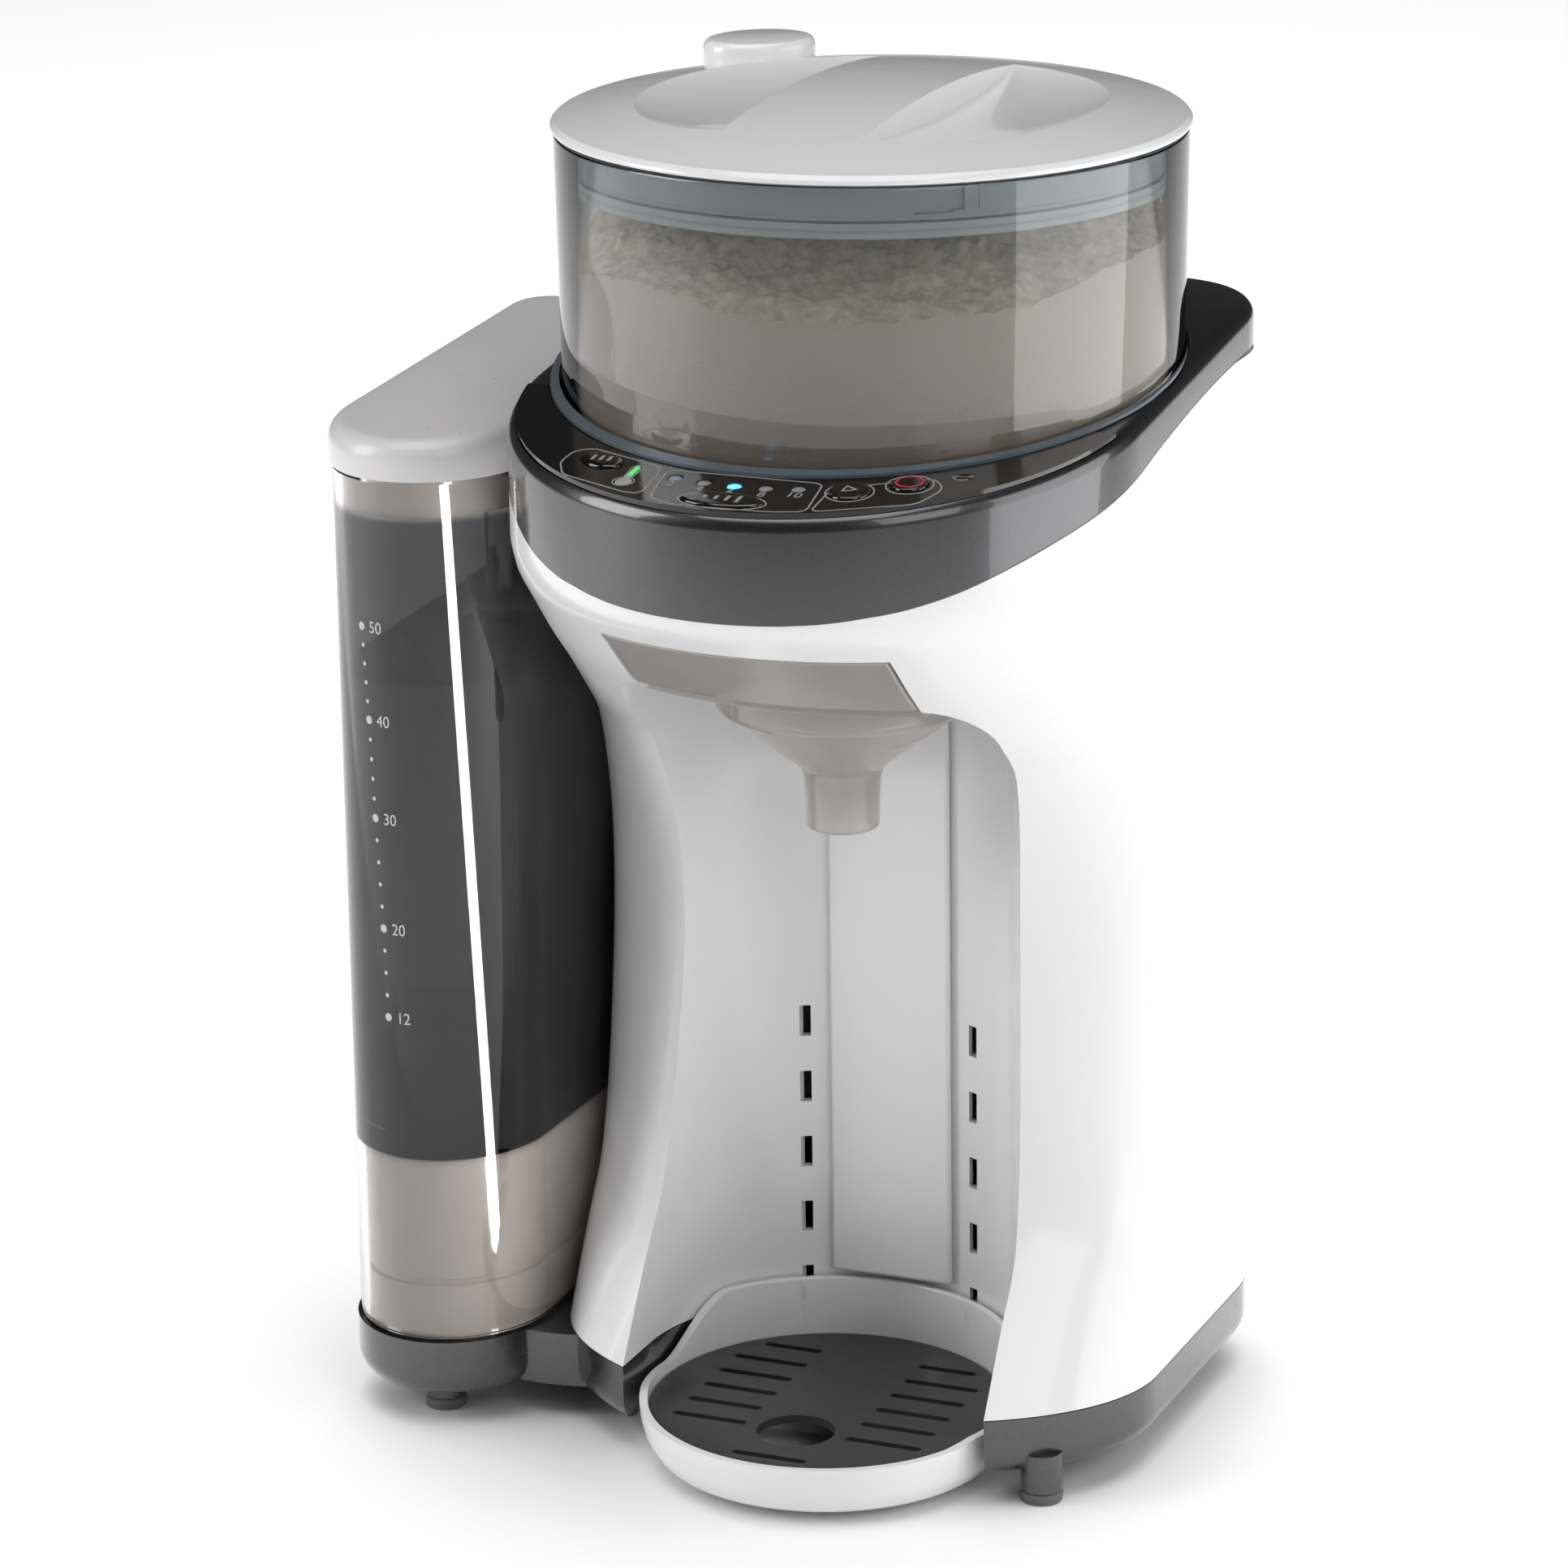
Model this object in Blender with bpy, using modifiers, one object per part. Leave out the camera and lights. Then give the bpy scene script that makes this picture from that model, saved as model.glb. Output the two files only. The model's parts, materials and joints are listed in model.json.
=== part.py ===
"""Formula dispenser: white housing, powder container, water tank, funnel drawer and bottle stand.

Metres, +Z up, the machine faces -Y. All driving dimensions are millimetres in machine
coordinates: X = Y = 0 on the powder container's axis, Z = 0 on the table.
"""

import math

import bmesh
import bpy
from mathutils import Vector

MM = 0.001

# The machine's container axis, as seen from the middle of the object's footprint.
FRAME_X, FRAME_Y = 28.6, 7.05

# Housing plan: a half-ellipse nose, straight sides and a back with rounded corners.
HALF_WIDTH = 84.3
BACK_Y = 86.4
BACK_RADIUS = 30.0
WALL = 2.5
HOUSING_FOOT_Z = 25.0
# The C-shaped front: height, centre of the nose ellipse, depth of the nose ellipse.
NOSE = (
    (25, -12, 58), (46, -1, 55), (66, 10, 52), (110, 18.5, 50), (157, 21, 50),
    (192, 15.2, 56), (205, 6.7, 62), (216, -1.2, 68), (226, -9.8, 72),
    (238, -18.5, 77), (248, -25, 82), (256, -27.5, 84),
)
# Lower edge of the dark band, front to back: Y, Z.
BAND_EDGE = (
    (-113, 252), (-107, 253.2), (-97, 256.6), (-88, 260), (-78, 264.2), (-65, 268.8),
    (-50, 272.8), (-30, 277.6), (-8, 282.4), (18, 287), (44, 290.2), (80, 292.6),
)
TOP_Z, TOP_SLOPE = 295.4, 0.137

# Bottle bay: an upright cylinder cut into the front, with a drawer channel over it.
BAY_Y, BAY_RADIUS, BAY_TOP = -39.0, 52.0, 221.0
CHANNEL_HALF, CHANNEL_TOP, CHANNEL_BACK = 39.6, 240.0, 13.0
SLOT_X, SLOT_Z, SLOT_PITCH, SLOT_COUNT = 24.5, 30.0, 19.0, 5

# Funnel and powder path.
FUNNEL_Y, FUNNEL_RADIUS, SPOUT_RADIUS = -24.0, 33.5, 10.2
FUNNEL_FRAME_Z, FUNNEL_RIM_Z, CONE_END_Z, SPOUT_END_Z = 218.0, 208.0, 190.0, 174.0

# Powder container and its lid.
CONTAINER_FOOT_Z, CONTAINER_RIM_Z = 262.0, 357.0
CONTAINER_RADIUS, CONTAINER_FOOT_RADIUS = 82.4, 81.0
LID_RADIUS, LID_RISE = 83.2, 9.2

# Water tank.
TANK_LEFT, TANK_RIGHT, TANK_BACK = -140.5, -86.4, 86.0
TANK_NOSE_Y, TANK_NOSE_DEPTH = -29.0, 31.0
TANK_FOOT_Z, TANK_FLOOR_Z, TANK_RIM_Z = 25.3, 77.0, 266.0

# Base, stand and feet.
BASE_Z = 8.0
STAND_RADIUS, STAND_FOOT_RADIUS = 50.8, 46.0
FEET = ((64, -46), (64, 58), (-112, -44), (-112, 60))

BUTTONS = {
    "temp_button": (-39.5, -85.5, 6.6, 4.0, 24.0),
    "ounce_button": (1.0, -103.4, 11.0, 4.4, 0.0),
    "start_button": (30.1, -90.9, 5.4, 5.4, 0.0),
    "stop_button": (43.0, -83.0, 4.6, 4.6, 0.0),
}
LEDS = (("dose_led_2", -16.6, -91.6), ("dose_led_4", -8.2, -93.0), ("dose_led_6", 0.2, -93.4),
        ("dose_led_8", 8.6, -93.0), ("dose_led_10", 16.8, -91.6))

PARTS = None
CUTTERS = None
MACHINE = None
MATERIALS = {}

LOOKS = {
    "white_abs": ((0.90, 0.90, 0.90), 0.25, 0.0),
    "gunmetal": ((0.09, 0.09, 0.10), 0.25, 0.6),
    "black_gloss": ((0.01, 0.01, 0.01), 0.08, 0.0),
    "blue_grey": ((0.32, 0.38, 0.42), 0.40, 0.0),
    "clear": ((0.75, 0.78, 0.80), 0.05, 0.0),
    "smoke": ((0.16, 0.16, 0.17), 0.08, 0.0),
    "taupe": ((0.40, 0.36, 0.33), 0.25, 0.0),
    "charcoal": ((0.06, 0.06, 0.06), 0.45, 0.0),
    "rubber": ((0.20, 0.20, 0.20), 0.85, 0.0),
    "silicone": ((0.80, 0.82, 0.84), 0.55, 0.0),
    "steel": ((0.60, 0.60, 0.60), 0.30, 1.0),
    "copper": ((0.75, 0.40, 0.25), 0.35, 1.0),
    "circuit": ((0.03, 0.20, 0.09), 0.50, 0.0),
    "lens": ((0.45, 0.62, 0.80), 0.20, 0.0),
    "lens_green": ((0.15, 0.55, 0.22), 0.20, 0.0),
}


def clear_scene():
    for obj in list(bpy.data.objects):
        bpy.data.objects.remove(obj, do_unlink=True)
    for collection in list(bpy.data.collections):
        bpy.data.collections.remove(collection)


def make_collections():
    """One collection for the pieces and one for the cutters, and the machine's own axis."""
    global PARTS, CUTTERS, MACHINE
    scene = bpy.context.scene.collection
    PARTS = bpy.data.collections.new("parts")
    CUTTERS = bpy.data.collections.new("cutters")
    CUTTERS.hide_render = True
    scene.children.link(PARTS)
    scene.children.link(CUTTERS)
    MACHINE = bpy.data.objects.new("machine_axis", None)
    MACHINE.location = (FRAME_X * MM, FRAME_Y * MM, 0.0)
    PARTS.objects.link(MACHINE)


def material(name):
    """The named Principled material, made the first time it is asked for."""
    if name not in MATERIALS:
        colour, rough, metal = LOOKS[name]
        made = bpy.data.materials.new(name)
        made.use_nodes = True
        shader = made.node_tree.nodes["Principled BSDF"]
        shader.inputs["Base Color"].default_value = (*colour, 1.0)
        shader.inputs["Roughness"].default_value = rough
        shader.inputs["Metallic"].default_value = metal
        MATERIALS[name] = made
    return MATERIALS[name]


def add_object(name, mesh, look, at=(0, 0, 0)):
    """A piece when it has a look, a cutter when it has none. `at` is its own origin."""
    obj = bpy.data.objects.new(name, mesh)
    obj.parent = MACHINE
    obj.location = Vector(at) * MM
    if look:
        mesh.materials.append(material(look))
        PARTS.objects.link(obj)
    else:
        obj.hide_render = True
        obj.display_type = "WIRE"
        CUTTERS.objects.link(obj)
    return obj


def finish_mesh(bm, name):
    bmesh.ops.recalc_face_normals(bm, faces=bm.faces)
    mesh = bpy.data.meshes.new(name)
    bm.to_mesh(mesh)
    bm.free()
    return mesh


def loft(name, rings, look=None, at=(0, 0, 0)):
    """A closed solid through rings of equally many points, with flat or fanned ends."""
    bm = bmesh.new()
    rows = [[bm.verts.new(Vector(p) * MM) for p in ring] for ring in rings]
    for low, high in zip(rows, rows[1:]):
        for i in range(len(low)):
            j = (i + 1) % len(low)
            bm.faces.new((low[i], low[j], high[j], high[i]))
    bm.faces.new(rows[0])
    bm.faces.new(rows[-1])
    return add_object(name, finish_mesh(bm, name), look, at)


def prism(name, outline, z0, z1, look=None, at=(0, 0, 0)):
    """A flat outline in XY pulled up from z0 to z1, which may be numbers or functions of y."""
    low = z0 if callable(z0) else (lambda y: z0)
    high = z1 if callable(z1) else (lambda y: z1)
    return loft(name, [[(x, y, low(y)) for x, y in outline], [(x, y, high(y)) for x, y in outline]], look, at)


def side_prism(name, outline, x0, x1, look=None):
    """An outline in YZ pulled along X."""
    return loft(name, [[(x0, y, z) for y, z in outline], [(x1, y, z) for y, z in outline]], look)


def box(name, centre, size, look=None, bevel=0.0):
    x, y, z = (s / 2 for s in size)
    corners = [(-x, -y), (x, -y), (x, y), (-x, y)]
    obj = prism(name, corners, -z, z, look, centre)
    if bevel:
        add_bevel(obj, bevel)
    return obj


def add_bevel(obj, width, segments=2, angle=40.0):
    rounding = obj.modifiers.new("Bevel", "BEVEL")
    rounding.width = width * MM
    rounding.segments = segments
    rounding.limit_method = "ANGLE"
    rounding.angle_limit = math.radians(angle)
    rounding.harden_normals = False
    return obj


def turned(name, profile, look=None, at=(0, 0, 0), steps=48, axis="Z"):
    """A profile of (radius, height) from the top down the outer side, turned about an axis."""
    mesh = bpy.data.meshes.new(name)
    points = [(r * MM, 0.0, z * MM) for r, z in profile]
    closed = profile[0][0] > 0 and profile[-1][0] > 0
    edges = [(i, i + 1) for i in range(len(points) - 1)]
    if closed:
        edges.append((len(points) - 1, 0))
    mesh.from_pydata(points, edges, [])
    obj = add_object(name, mesh, look, at)
    screw = obj.modifiers.new("Screw", "SCREW")
    screw.steps = steps
    screw.render_steps = steps
    screw.use_merge_vertices = True
    screw.merge_threshold = 0.00001
    if axis == "Y":
        obj.rotation_euler = (math.radians(-90), 0, 0)
    if axis == "X":
        obj.rotation_euler = (0, math.radians(90), 0)
    return obj


def rod(name, radius, z0, z1, look=None, at=(0, 0, 0), steps=24, axis="Z"):
    return turned(name, ((0, z1), (radius, z1), (radius, z0), (0, z0)), look, at, steps, axis)


def tube(name, outer, inner, z0, z1, look=None, at=(0, 0, 0), steps=32, axis="Z"):
    return turned(name, ((outer, z1), (outer, z0), (inner, z0), (inner, z1)), look, at, steps, axis)


def boolean(obj, operation, *others):
    for other in others:
        cut = obj.modifiers.new(other.name, "BOOLEAN")
        cut.operation = operation
        cut.solver = "EXACT"
        cut.object = other
    return obj


def cut(obj, *others):
    return boolean(obj, "DIFFERENCE", *others)


def join(obj, *others):
    return boolean(obj, "UNION", *others)


def hose(name, points, radius, look):
    """A bent tube along straight runs, turned into a mesh so that it closes."""
    curve = bpy.data.curves.new(name, "CURVE")
    curve.dimensions = "3D"
    curve.bevel_depth = radius * MM
    curve.bevel_resolution = 2
    curve.use_fill_caps = True
    line = curve.splines.new("POLY")
    line.points.add(len(points) - 1)
    for point, place in zip(line.points, points):
        point.co = (*(Vector(place) * MM), 1.0)
    shape = bpy.data.objects.new(name + "_path", curve)
    bpy.context.scene.collection.objects.link(shape)
    bpy.context.view_layer.update()
    evaluated = shape.evaluated_get(bpy.context.evaluated_depsgraph_get())
    bm = bmesh.new()
    mesh = bpy.data.meshes.new_from_object(evaluated)
    bm.from_mesh(mesh)
    bmesh.ops.remove_doubles(bm, verts=bm.verts, dist=0.00001)
    bpy.data.objects.remove(shape, do_unlink=True)
    bpy.data.curves.remove(curve)
    return add_object(name, finish_mesh(bm, name), look)


def bend(corners, radius, steps=4):
    """The corners of a path, each replaced by a short arc."""
    path = [Vector(corners[0])]
    for before, corner, after in zip(corners, corners[1:], corners[2:]):
        here = Vector(corner)
        a = here + (Vector(before) - here).normalized() * radius
        b = here + (Vector(after) - here).normalized() * radius
        for i in range(steps + 1):
            t = i / steps
            path.append(a.lerp(here, t).lerp(here.lerp(b, t), t))
    path.append(Vector(corners[-1]))
    return path


def smooth_value(table, at):
    """Catmull-Rom interpolation of the rows of a table at its first column."""
    rows = list(table)
    if at <= rows[0][0]:
        return rows[0][1:]
    if at >= rows[-1][0]:
        return rows[-1][1:]
    k = max(i for i in range(len(rows) - 1) if rows[i][0] <= at)
    t = (at - rows[k][0]) / (rows[k + 1][0] - rows[k][0])
    before, start = rows[max(k - 1, 0)], rows[k]
    end, after = rows[k + 1], rows[min(k + 2, len(rows) - 1)]
    values = []
    for c in range(1, len(start)):
        span = end[0] - start[0]
        m0 = (end[c] - before[c]) / (end[0] - before[0]) * span
        m1 = (after[c] - start[c]) / (after[0] - start[0]) * span
        values.append(
            (2 * t**3 - 3 * t**2 + 1) * start[c] + (t**3 - 2 * t**2 + t) * m0
            + (3 * t**2 - 2 * t**3) * end[c] + (t**3 - t**2) * m1
        )
    return values


def band_edge(y):
    return smooth_value(BAND_EDGE, y)[0]


def top_plane(y):
    """Height of the sloping top, which levels out towards the back."""
    return TOP_Z + TOP_SLOPE * y - 0.0012 * max(y - 30.0, 0.0) ** 2


def body_outline(nose_y, depth, inset=0.0, nose_steps=28, corner_steps=4):
    """The housing's plan: nose ellipse, sides and rounded back corners, moved in by `inset`."""
    a, b = HALF_WIDTH - inset, depth - inset
    back, r = BACK_Y - inset, max(BACK_RADIUS - inset, 2.0)
    points = []
    for i in range(nose_steps + 1):
        angle = math.pi * (1 + i / nose_steps)
        points.append((a * math.cos(angle), nose_y + b * math.sin(angle)))
    for i in range(corner_steps + 1):
        angle = math.pi / 2 * i / corner_steps
        points.append((a - r + r * math.cos(angle), back - r + r * math.sin(angle)))
    for i in range(corner_steps + 1):
        angle = math.pi / 2 * (1 + i / corner_steps)
        points.append((r - a + r * math.cos(angle), back - r + r * math.sin(angle)))
    return points


def body_ring(z, inset=0.0, nose_steps=28, corner_steps=4):
    nose_y, depth = smooth_value(NOSE, z)
    return [(x, y, z) for x, y in body_outline(nose_y, depth, inset, nose_steps, corner_steps)]


def tank_outline(inset=0.0, nose_steps=20, corner_steps=4):
    """The tank's plan: a nose ellipse, straight sides and rounded back corners."""
    middle = (TANK_LEFT + TANK_RIGHT) / 2
    a = (TANK_RIGHT - TANK_LEFT) / 2 - inset
    b, back, r = TANK_NOSE_DEPTH - inset, TANK_BACK - inset, max(12.0 - inset, 2.0)
    points = []
    for i in range(nose_steps + 1):
        angle = math.pi * (1 + i / nose_steps)
        points.append((middle + a * math.cos(angle), TANK_NOSE_Y + b * math.sin(angle)))
    for i in range(corner_steps + 1):
        angle = math.pi / 2 * i / corner_steps
        points.append((middle + a - r + r * math.cos(angle), back - r + r * math.sin(angle)))
    for i in range(corner_steps + 1):
        angle = math.pi / 2 * (1 + i / corner_steps)
        points.append((middle - a + r + r * math.cos(angle), back - r + r * math.sin(angle)))
    return points


def pod_outline(inset=0.0):
    """The plan of the tank's part of the base, a little outside the tank."""
    return [(x, y) for x, y in tank_outline(inset - 1.0)]


def arc(cx, cy, radius, start, end, steps):
    return [
        (cx + radius * math.cos(math.radians(start + (end - start) * i / steps)),
         cy + radius * math.sin(math.radians(start + (end - start) * i / steps)))
        for i in range(steps + 1)
    ]


def oval(half_x, half_y, turn=0.0, steps=24, power=1.0):
    """An ellipse, or with power below 1 a fuller pill shape, turned by `turn` degrees."""
    points = []
    c, s = math.cos(math.radians(turn)), math.sin(math.radians(turn))
    for i in range(steps):
        angle = 2 * math.pi * i / steps
        x = half_x * math.copysign(abs(math.cos(angle)) ** power, math.cos(angle))
        y = half_y * math.copysign(abs(math.sin(angle)) ** power, math.sin(angle))
        points.append((x * c + y * s, -x * s + y * c))
    return points


def crescent(margin=0.0):
    """The control panel's plan: between the band's rim and the ring round the container."""
    outer, inner = 82.2 + margin, 83.6 - margin
    end_y = -39.0 + margin
    start = math.degrees(math.asin((end_y + 27.5) / outer))
    stop = math.degrees(math.asin((end_y + 3.5) / inner))
    return (arc(0, -27.5, outer, -180 - start, start, 32)
            + arc(0, -3.5, inner, stop, -180 - stop, 28))


def make_housing():
    """White front housing with the bay, its drawer channel and the stand's slots."""
    heights = (25, 40, 58, 82, 120, 160, 182, 198, 209, 219, 228, 238, 248, 256, 290)
    housing = loft("front_housing", [body_ring(z) for z in heights], "white_abs")
    inside = [body_ring(z, WALL + 0.6, 14, 2) for z in (20,) + heights[1:-3]]
    inside += [body_ring(z, WALL, 14, 2) for z in (248, 256, 300)]
    cavity = loft("housing_cavity", [*inside])
    bay_skin = rod("bay_skin", BAY_RADIUS + WALL, 10, BAY_TOP + WALL, at=(0, BAY_Y, 0), steps=48)
    channel_skin = box("channel_skin", (0, -63, (CHANNEL_TOP + WALL + 205) / 2),
                       (2 * (CHANNEL_HALF + WALL), 2 * (63 + CHANNEL_BACK + WALL), CHANNEL_TOP + WALL - 205))
    cut(cavity, bay_skin, channel_skin)
    bay = turned("bay", ((0, BAY_TOP), (BAY_RADIUS - 14, BAY_TOP), (BAY_RADIUS - 7, BAY_TOP - 2),
                         (BAY_RADIUS - 2, BAY_TOP - 7), (BAY_RADIUS, BAY_TOP - 14), (BAY_RADIUS, 5), (0, 5)),
                 at=(0, BAY_Y, 0), steps=64)
    front = side_prism("bay_front", [(BAY_Y, 5), (-130, 5), (-130, 206), (BAY_Y, 206)], -BAY_RADIUS, BAY_RADIUS)
    arch = side_prism("bay_arch", [(BAY_Y, 200), (-130, 200), (-130, BAY_TOP), (BAY_Y, BAY_TOP)], -42, 42)
    channel = box("channel", (0, -63, (CHANNEL_TOP + 206) / 2),
                  (2 * CHANNEL_HALF, 2 * (63 + CHANNEL_BACK), CHANNEL_TOP - 206))
    above = side_prism("above_band_edge",
                       [(-113.0 + 193.0 * i / 24, band_edge(-113.0 + 193.0 * i / 24) - 0.35) for i in range(25)]
                       + [(90, 330), (-120, 330)], -100, 100)
    chute_hole = rod("chute_hole", 11.3, 230, 260, at=(-5, FUNNEL_Y, 0))
    nozzle_hole = rod("nozzle_hole", 4.6, 230, 260, at=(18, FUNNEL_Y, 0), steps=16)
    back_hole = box("back_hole", (0, BACK_Y, 155), (92, 20, 224))
    cut(housing, cavity, bay, front, arch, channel, above, chute_hole, nozzle_hole, back_hole)
    for side in (-1, 1):
        for y in (-12, 44):
            join(housing, box(f"deck_rib_{side}_{y}", (side * 80.2, y, 244), (5, 4, 27.6)))
        for i in range(SLOT_COUNT):
            z = SLOT_Z + i * SLOT_PITCH
            slot = box(f"slot_{side}_{i}", (side * SLOT_X, 8, z), (2.8, 16, 8.8))
            cut(housing, slot)
    rear = box("rear_cover", (0, BACK_Y + 1.4, 155), (104, 2.2, 240), "white_abs", 0.8)
    for i in range(6):
        vent = box(f"vent_{i}", (16, BACK_Y, 190 + 9 * i), (50, 10, 3.2))
        cut(rear, vent)
    switch_hole = box("switch_hole", (-30, BACK_Y, 62), (16.6, 20, 22.6))
    gland_hole = rod("gland_hole", 5.2, -20, 20, at=(34, BACK_Y, 50), axis="Y")
    cut(rear, switch_hole, gland_hole)
    return housing


def make_bay_spine():
    """The raised strip down the middle of the bay's back wall."""
    spine = box("bay_spine", (0, 9.6, 119), (35, 5, 170), "white_abs")
    wall = turned("spine_wall", ((90, 240), (90, 0), (BAY_RADIUS - 0.3, 0), (BAY_RADIUS - 0.3, 240)),
                  at=(0, BAY_Y, 0), steps=64)
    return cut(spine, wall)


def make_shroud():
    """Dark band and top round the container, with the panel's recess and the control windows."""
    nose_y, depth = NOSE[-1][1:]

    def ring(inset, height):
        return [(x, y, height(y)) for x, y in body_outline(nose_y, depth, inset)]

    rings = [ring(0, lambda y: 240), ring(0, lambda y: top_plane(y) - 4.0), ring(0.5, lambda y: top_plane(y) - 2.0),
             ring(1.8, lambda y: top_plane(y) - 0.6), ring(3.8, top_plane)]
    shroud = loft("top_shroud", rings, "gunmetal")
    cavity = loft("shroud_cavity", [ring(WALL, lambda y: 230), ring(WALL, lambda y: top_plane(y) - 6.0),
                                    ring(WALL + 3.0, lambda y: top_plane(y) - 3.2)])
    edge = [(-113.0 + 193.0 * i / 24, band_edge(-113.0 + 193.0 * i / 24)) for i in range(25)]
    below = side_prism("below_band_edge", [*edge, (90, band_edge(80)), (90, 220), (-120, 220), (-120, band_edge(-113))], -100, 100)
    well = rod("container_well", 82.6, 240, 330, steps=64)
    recess = prism("panel_recess", crescent(0.35), lambda y: top_plane(y) - 1.3, lambda y: top_plane(y) + 6)
    cut(shroud, below, cavity, well, recess)
    for name, (x, y, half_x, half_y, turn) in BUTTONS.items():
        outline = [(x + px, y + py) for px, py in oval(half_x + 0.6, half_y + 0.6, turn)]
        cut(shroud, prism(name + "_well", outline, lambda y: top_plane(y) - 6, lambda y: top_plane(y) + 1))
    for name, x, y in LEDS:
        cut(shroud, rod(name + "_well", 2.6, 270, 300, at=(x, y, 0), steps=16))
    cut(shroud, rod("thermometer_well", 3.2, 270, 300, at=(-28.6, -93.0, 0), steps=16))
    cut(shroud, rod("funnel_lamp_well", 2.6, 270, 300, at=(54.7, -74.8, 0), steps=16))
    return shroud


def make_panel():
    """Black crescent panel, its four buttons, lenses and the board under them."""
    panel = prism("control_panel", crescent(), lambda y: top_plane(y) - 1.0, lambda y: top_plane(y) + 0.4, "black_gloss")
    for name, (x, y, half_x, half_y, turn) in BUTTONS.items():
        outline = oval(half_x, half_y, turn)
        hole = [(x + px * (1 + 0.3 / half_x), y + py * (1 + 0.3 / half_y)) for px, py in outline]
        cut(panel, prism(name + "_hole", hole, lambda y: top_plane(y) - 3, lambda y: top_plane(y) + 3))
        centre = top_plane(y)
        rings = []
        for scale, lift in ((1.0, -5.6), (1.0, 0.9), (0.9, 1.4)):
            rings.append([(px * scale, py * scale, TOP_SLOPE * py * scale + lift) for px, py in outline])
        loft(name, rings, "black_gloss", (x, y, centre))
    for name, x, y in LEDS:
        cut(panel, rod(name + "_hole", 2.15, 270, 300, at=(x, y, 0), steps=16))
        rod(name, 1.9, -5.0, 0.5, "lens", (x, y, top_plane(y)), 16)
    bulb = [(x, y) for x, y in oval(1.7, 6.4, 0, 20, 0.75)]
    hole = [(-28.6 + x * 1.2, -93.0 + y * 1.05) for x, y in bulb]
    cut(panel, prism("thermometer_hole", hole, lambda y: top_plane(y) - 3, lambda y: top_plane(y) + 3))
    prism("thermometer_lens", bulb, lambda y: TOP_SLOPE * y - 0.9, lambda y: TOP_SLOPE * y + 0.6, "lens_green",
          (-28.6, -93.0, top_plane(-93.0)))
    cut(panel, rod("funnel_lamp_hole", 2.15, 270, 300, at=(54.7, -74.8, 0), steps=16))
    rod("funnel_lamp_lens", 1.9, -5.0, 0.5, "lens", (54.7, -74.8, top_plane(-74.8)), 16)
    board_outline = arc(0, -27.5, 76.0, -150, -30, 24) + arc(0, -3.5, 87.0, -46, -134, 20)
    board = prism("control_board", board_outline, lambda y: top_plane(y) - 9.0, lambda y: top_plane(y) - 7.2, "circuit")
    ring = prism("seat_ring", arc(0, -3.2, 83.2, 0, 352.5, 47), lambda y: top_plane(y) + 0.3,
                 lambda y: top_plane(y) + 1.2, "blue_grey")
    return cut(ring, rod("seat_ring_hole", 82.3, 250, 330, steps=96)), board


def make_base():
    """Dark base tray under the housing and the tank, with a well for the stand and four foot posts."""
    body = body_outline(*NOSE[0][1:])
    base = prism("base", body, BASE_Z, HOUSING_FOOT_Z - 0.3, "gunmetal")
    pod = prism("base_pod", pod_outline(), BASE_Z, HOUSING_FOOT_Z - 0.3)
    web = prism("base_web", [(-100, -38), (-93, -45), (-86, -42), (-79, -45), (-70, -38), (-70, 60), (-100, 60)],
                BASE_Z, HOUSING_FOOT_Z - 0.3)
    join(base, pod, web)
    for i, (x, y) in enumerate(FEET):
        join(base, rod(f"foot_post_{i}", 5.6, 3.4, 14, at=(x, y, 0), steps=16))
    inside = prism("base_inside", body_outline(*NOSE[0][1:], inset=WALL + 0.4), BASE_Z + 3, 40)
    skin = rod("base_skin", BAY_RADIUS + WALL, 5, 45, at=(0, BAY_Y, 0), steps=48)
    cut(inside, skin)
    pod_inside = prism("pod_inside", pod_outline(WALL), BASE_Z + 3, 21.0)
    well = rod("stand_well", BAY_RADIUS, 0, 50, at=(0, BAY_Y, 0), steps=64)
    mouth = box("stand_mouth", (0, -90, 20), (2 * BAY_RADIUS, 102, 60))
    hose_gap = box("hose_gap", (-86, 44, 15.5), (20, 12, 8))
    socket_hole = rod("socket_hole", 10.0, 18, 40, at=(-113.5, 44, 0))
    cut(base, inside, pod_inside, well, mouth, hose_gap, socket_hole)
    for i, (x, y) in enumerate(FEET):
        foot = turned(f"foot_{i + 1}", ((0, 3.1), (5.4, 3.1), (5.8, 2.2), (5.4, 0.0), (0, 0.0)), "rubber", (x, y, 0), 16)
    return base, foot


def make_deck():
    """Shelf inside the housing that the container rests on."""
    deck = rod("powder_deck", 80.6, 258.2, 261.6, "white_abs", steps=40)
    front = prism("deck_chute_hole", oval(11.6, 11.6), 240, 280, at=(-5, FUNNEL_Y, 0))
    cut(deck, front, rod("deck_shaft_hole", 7.0, 240, 280))
    return deck


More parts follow.
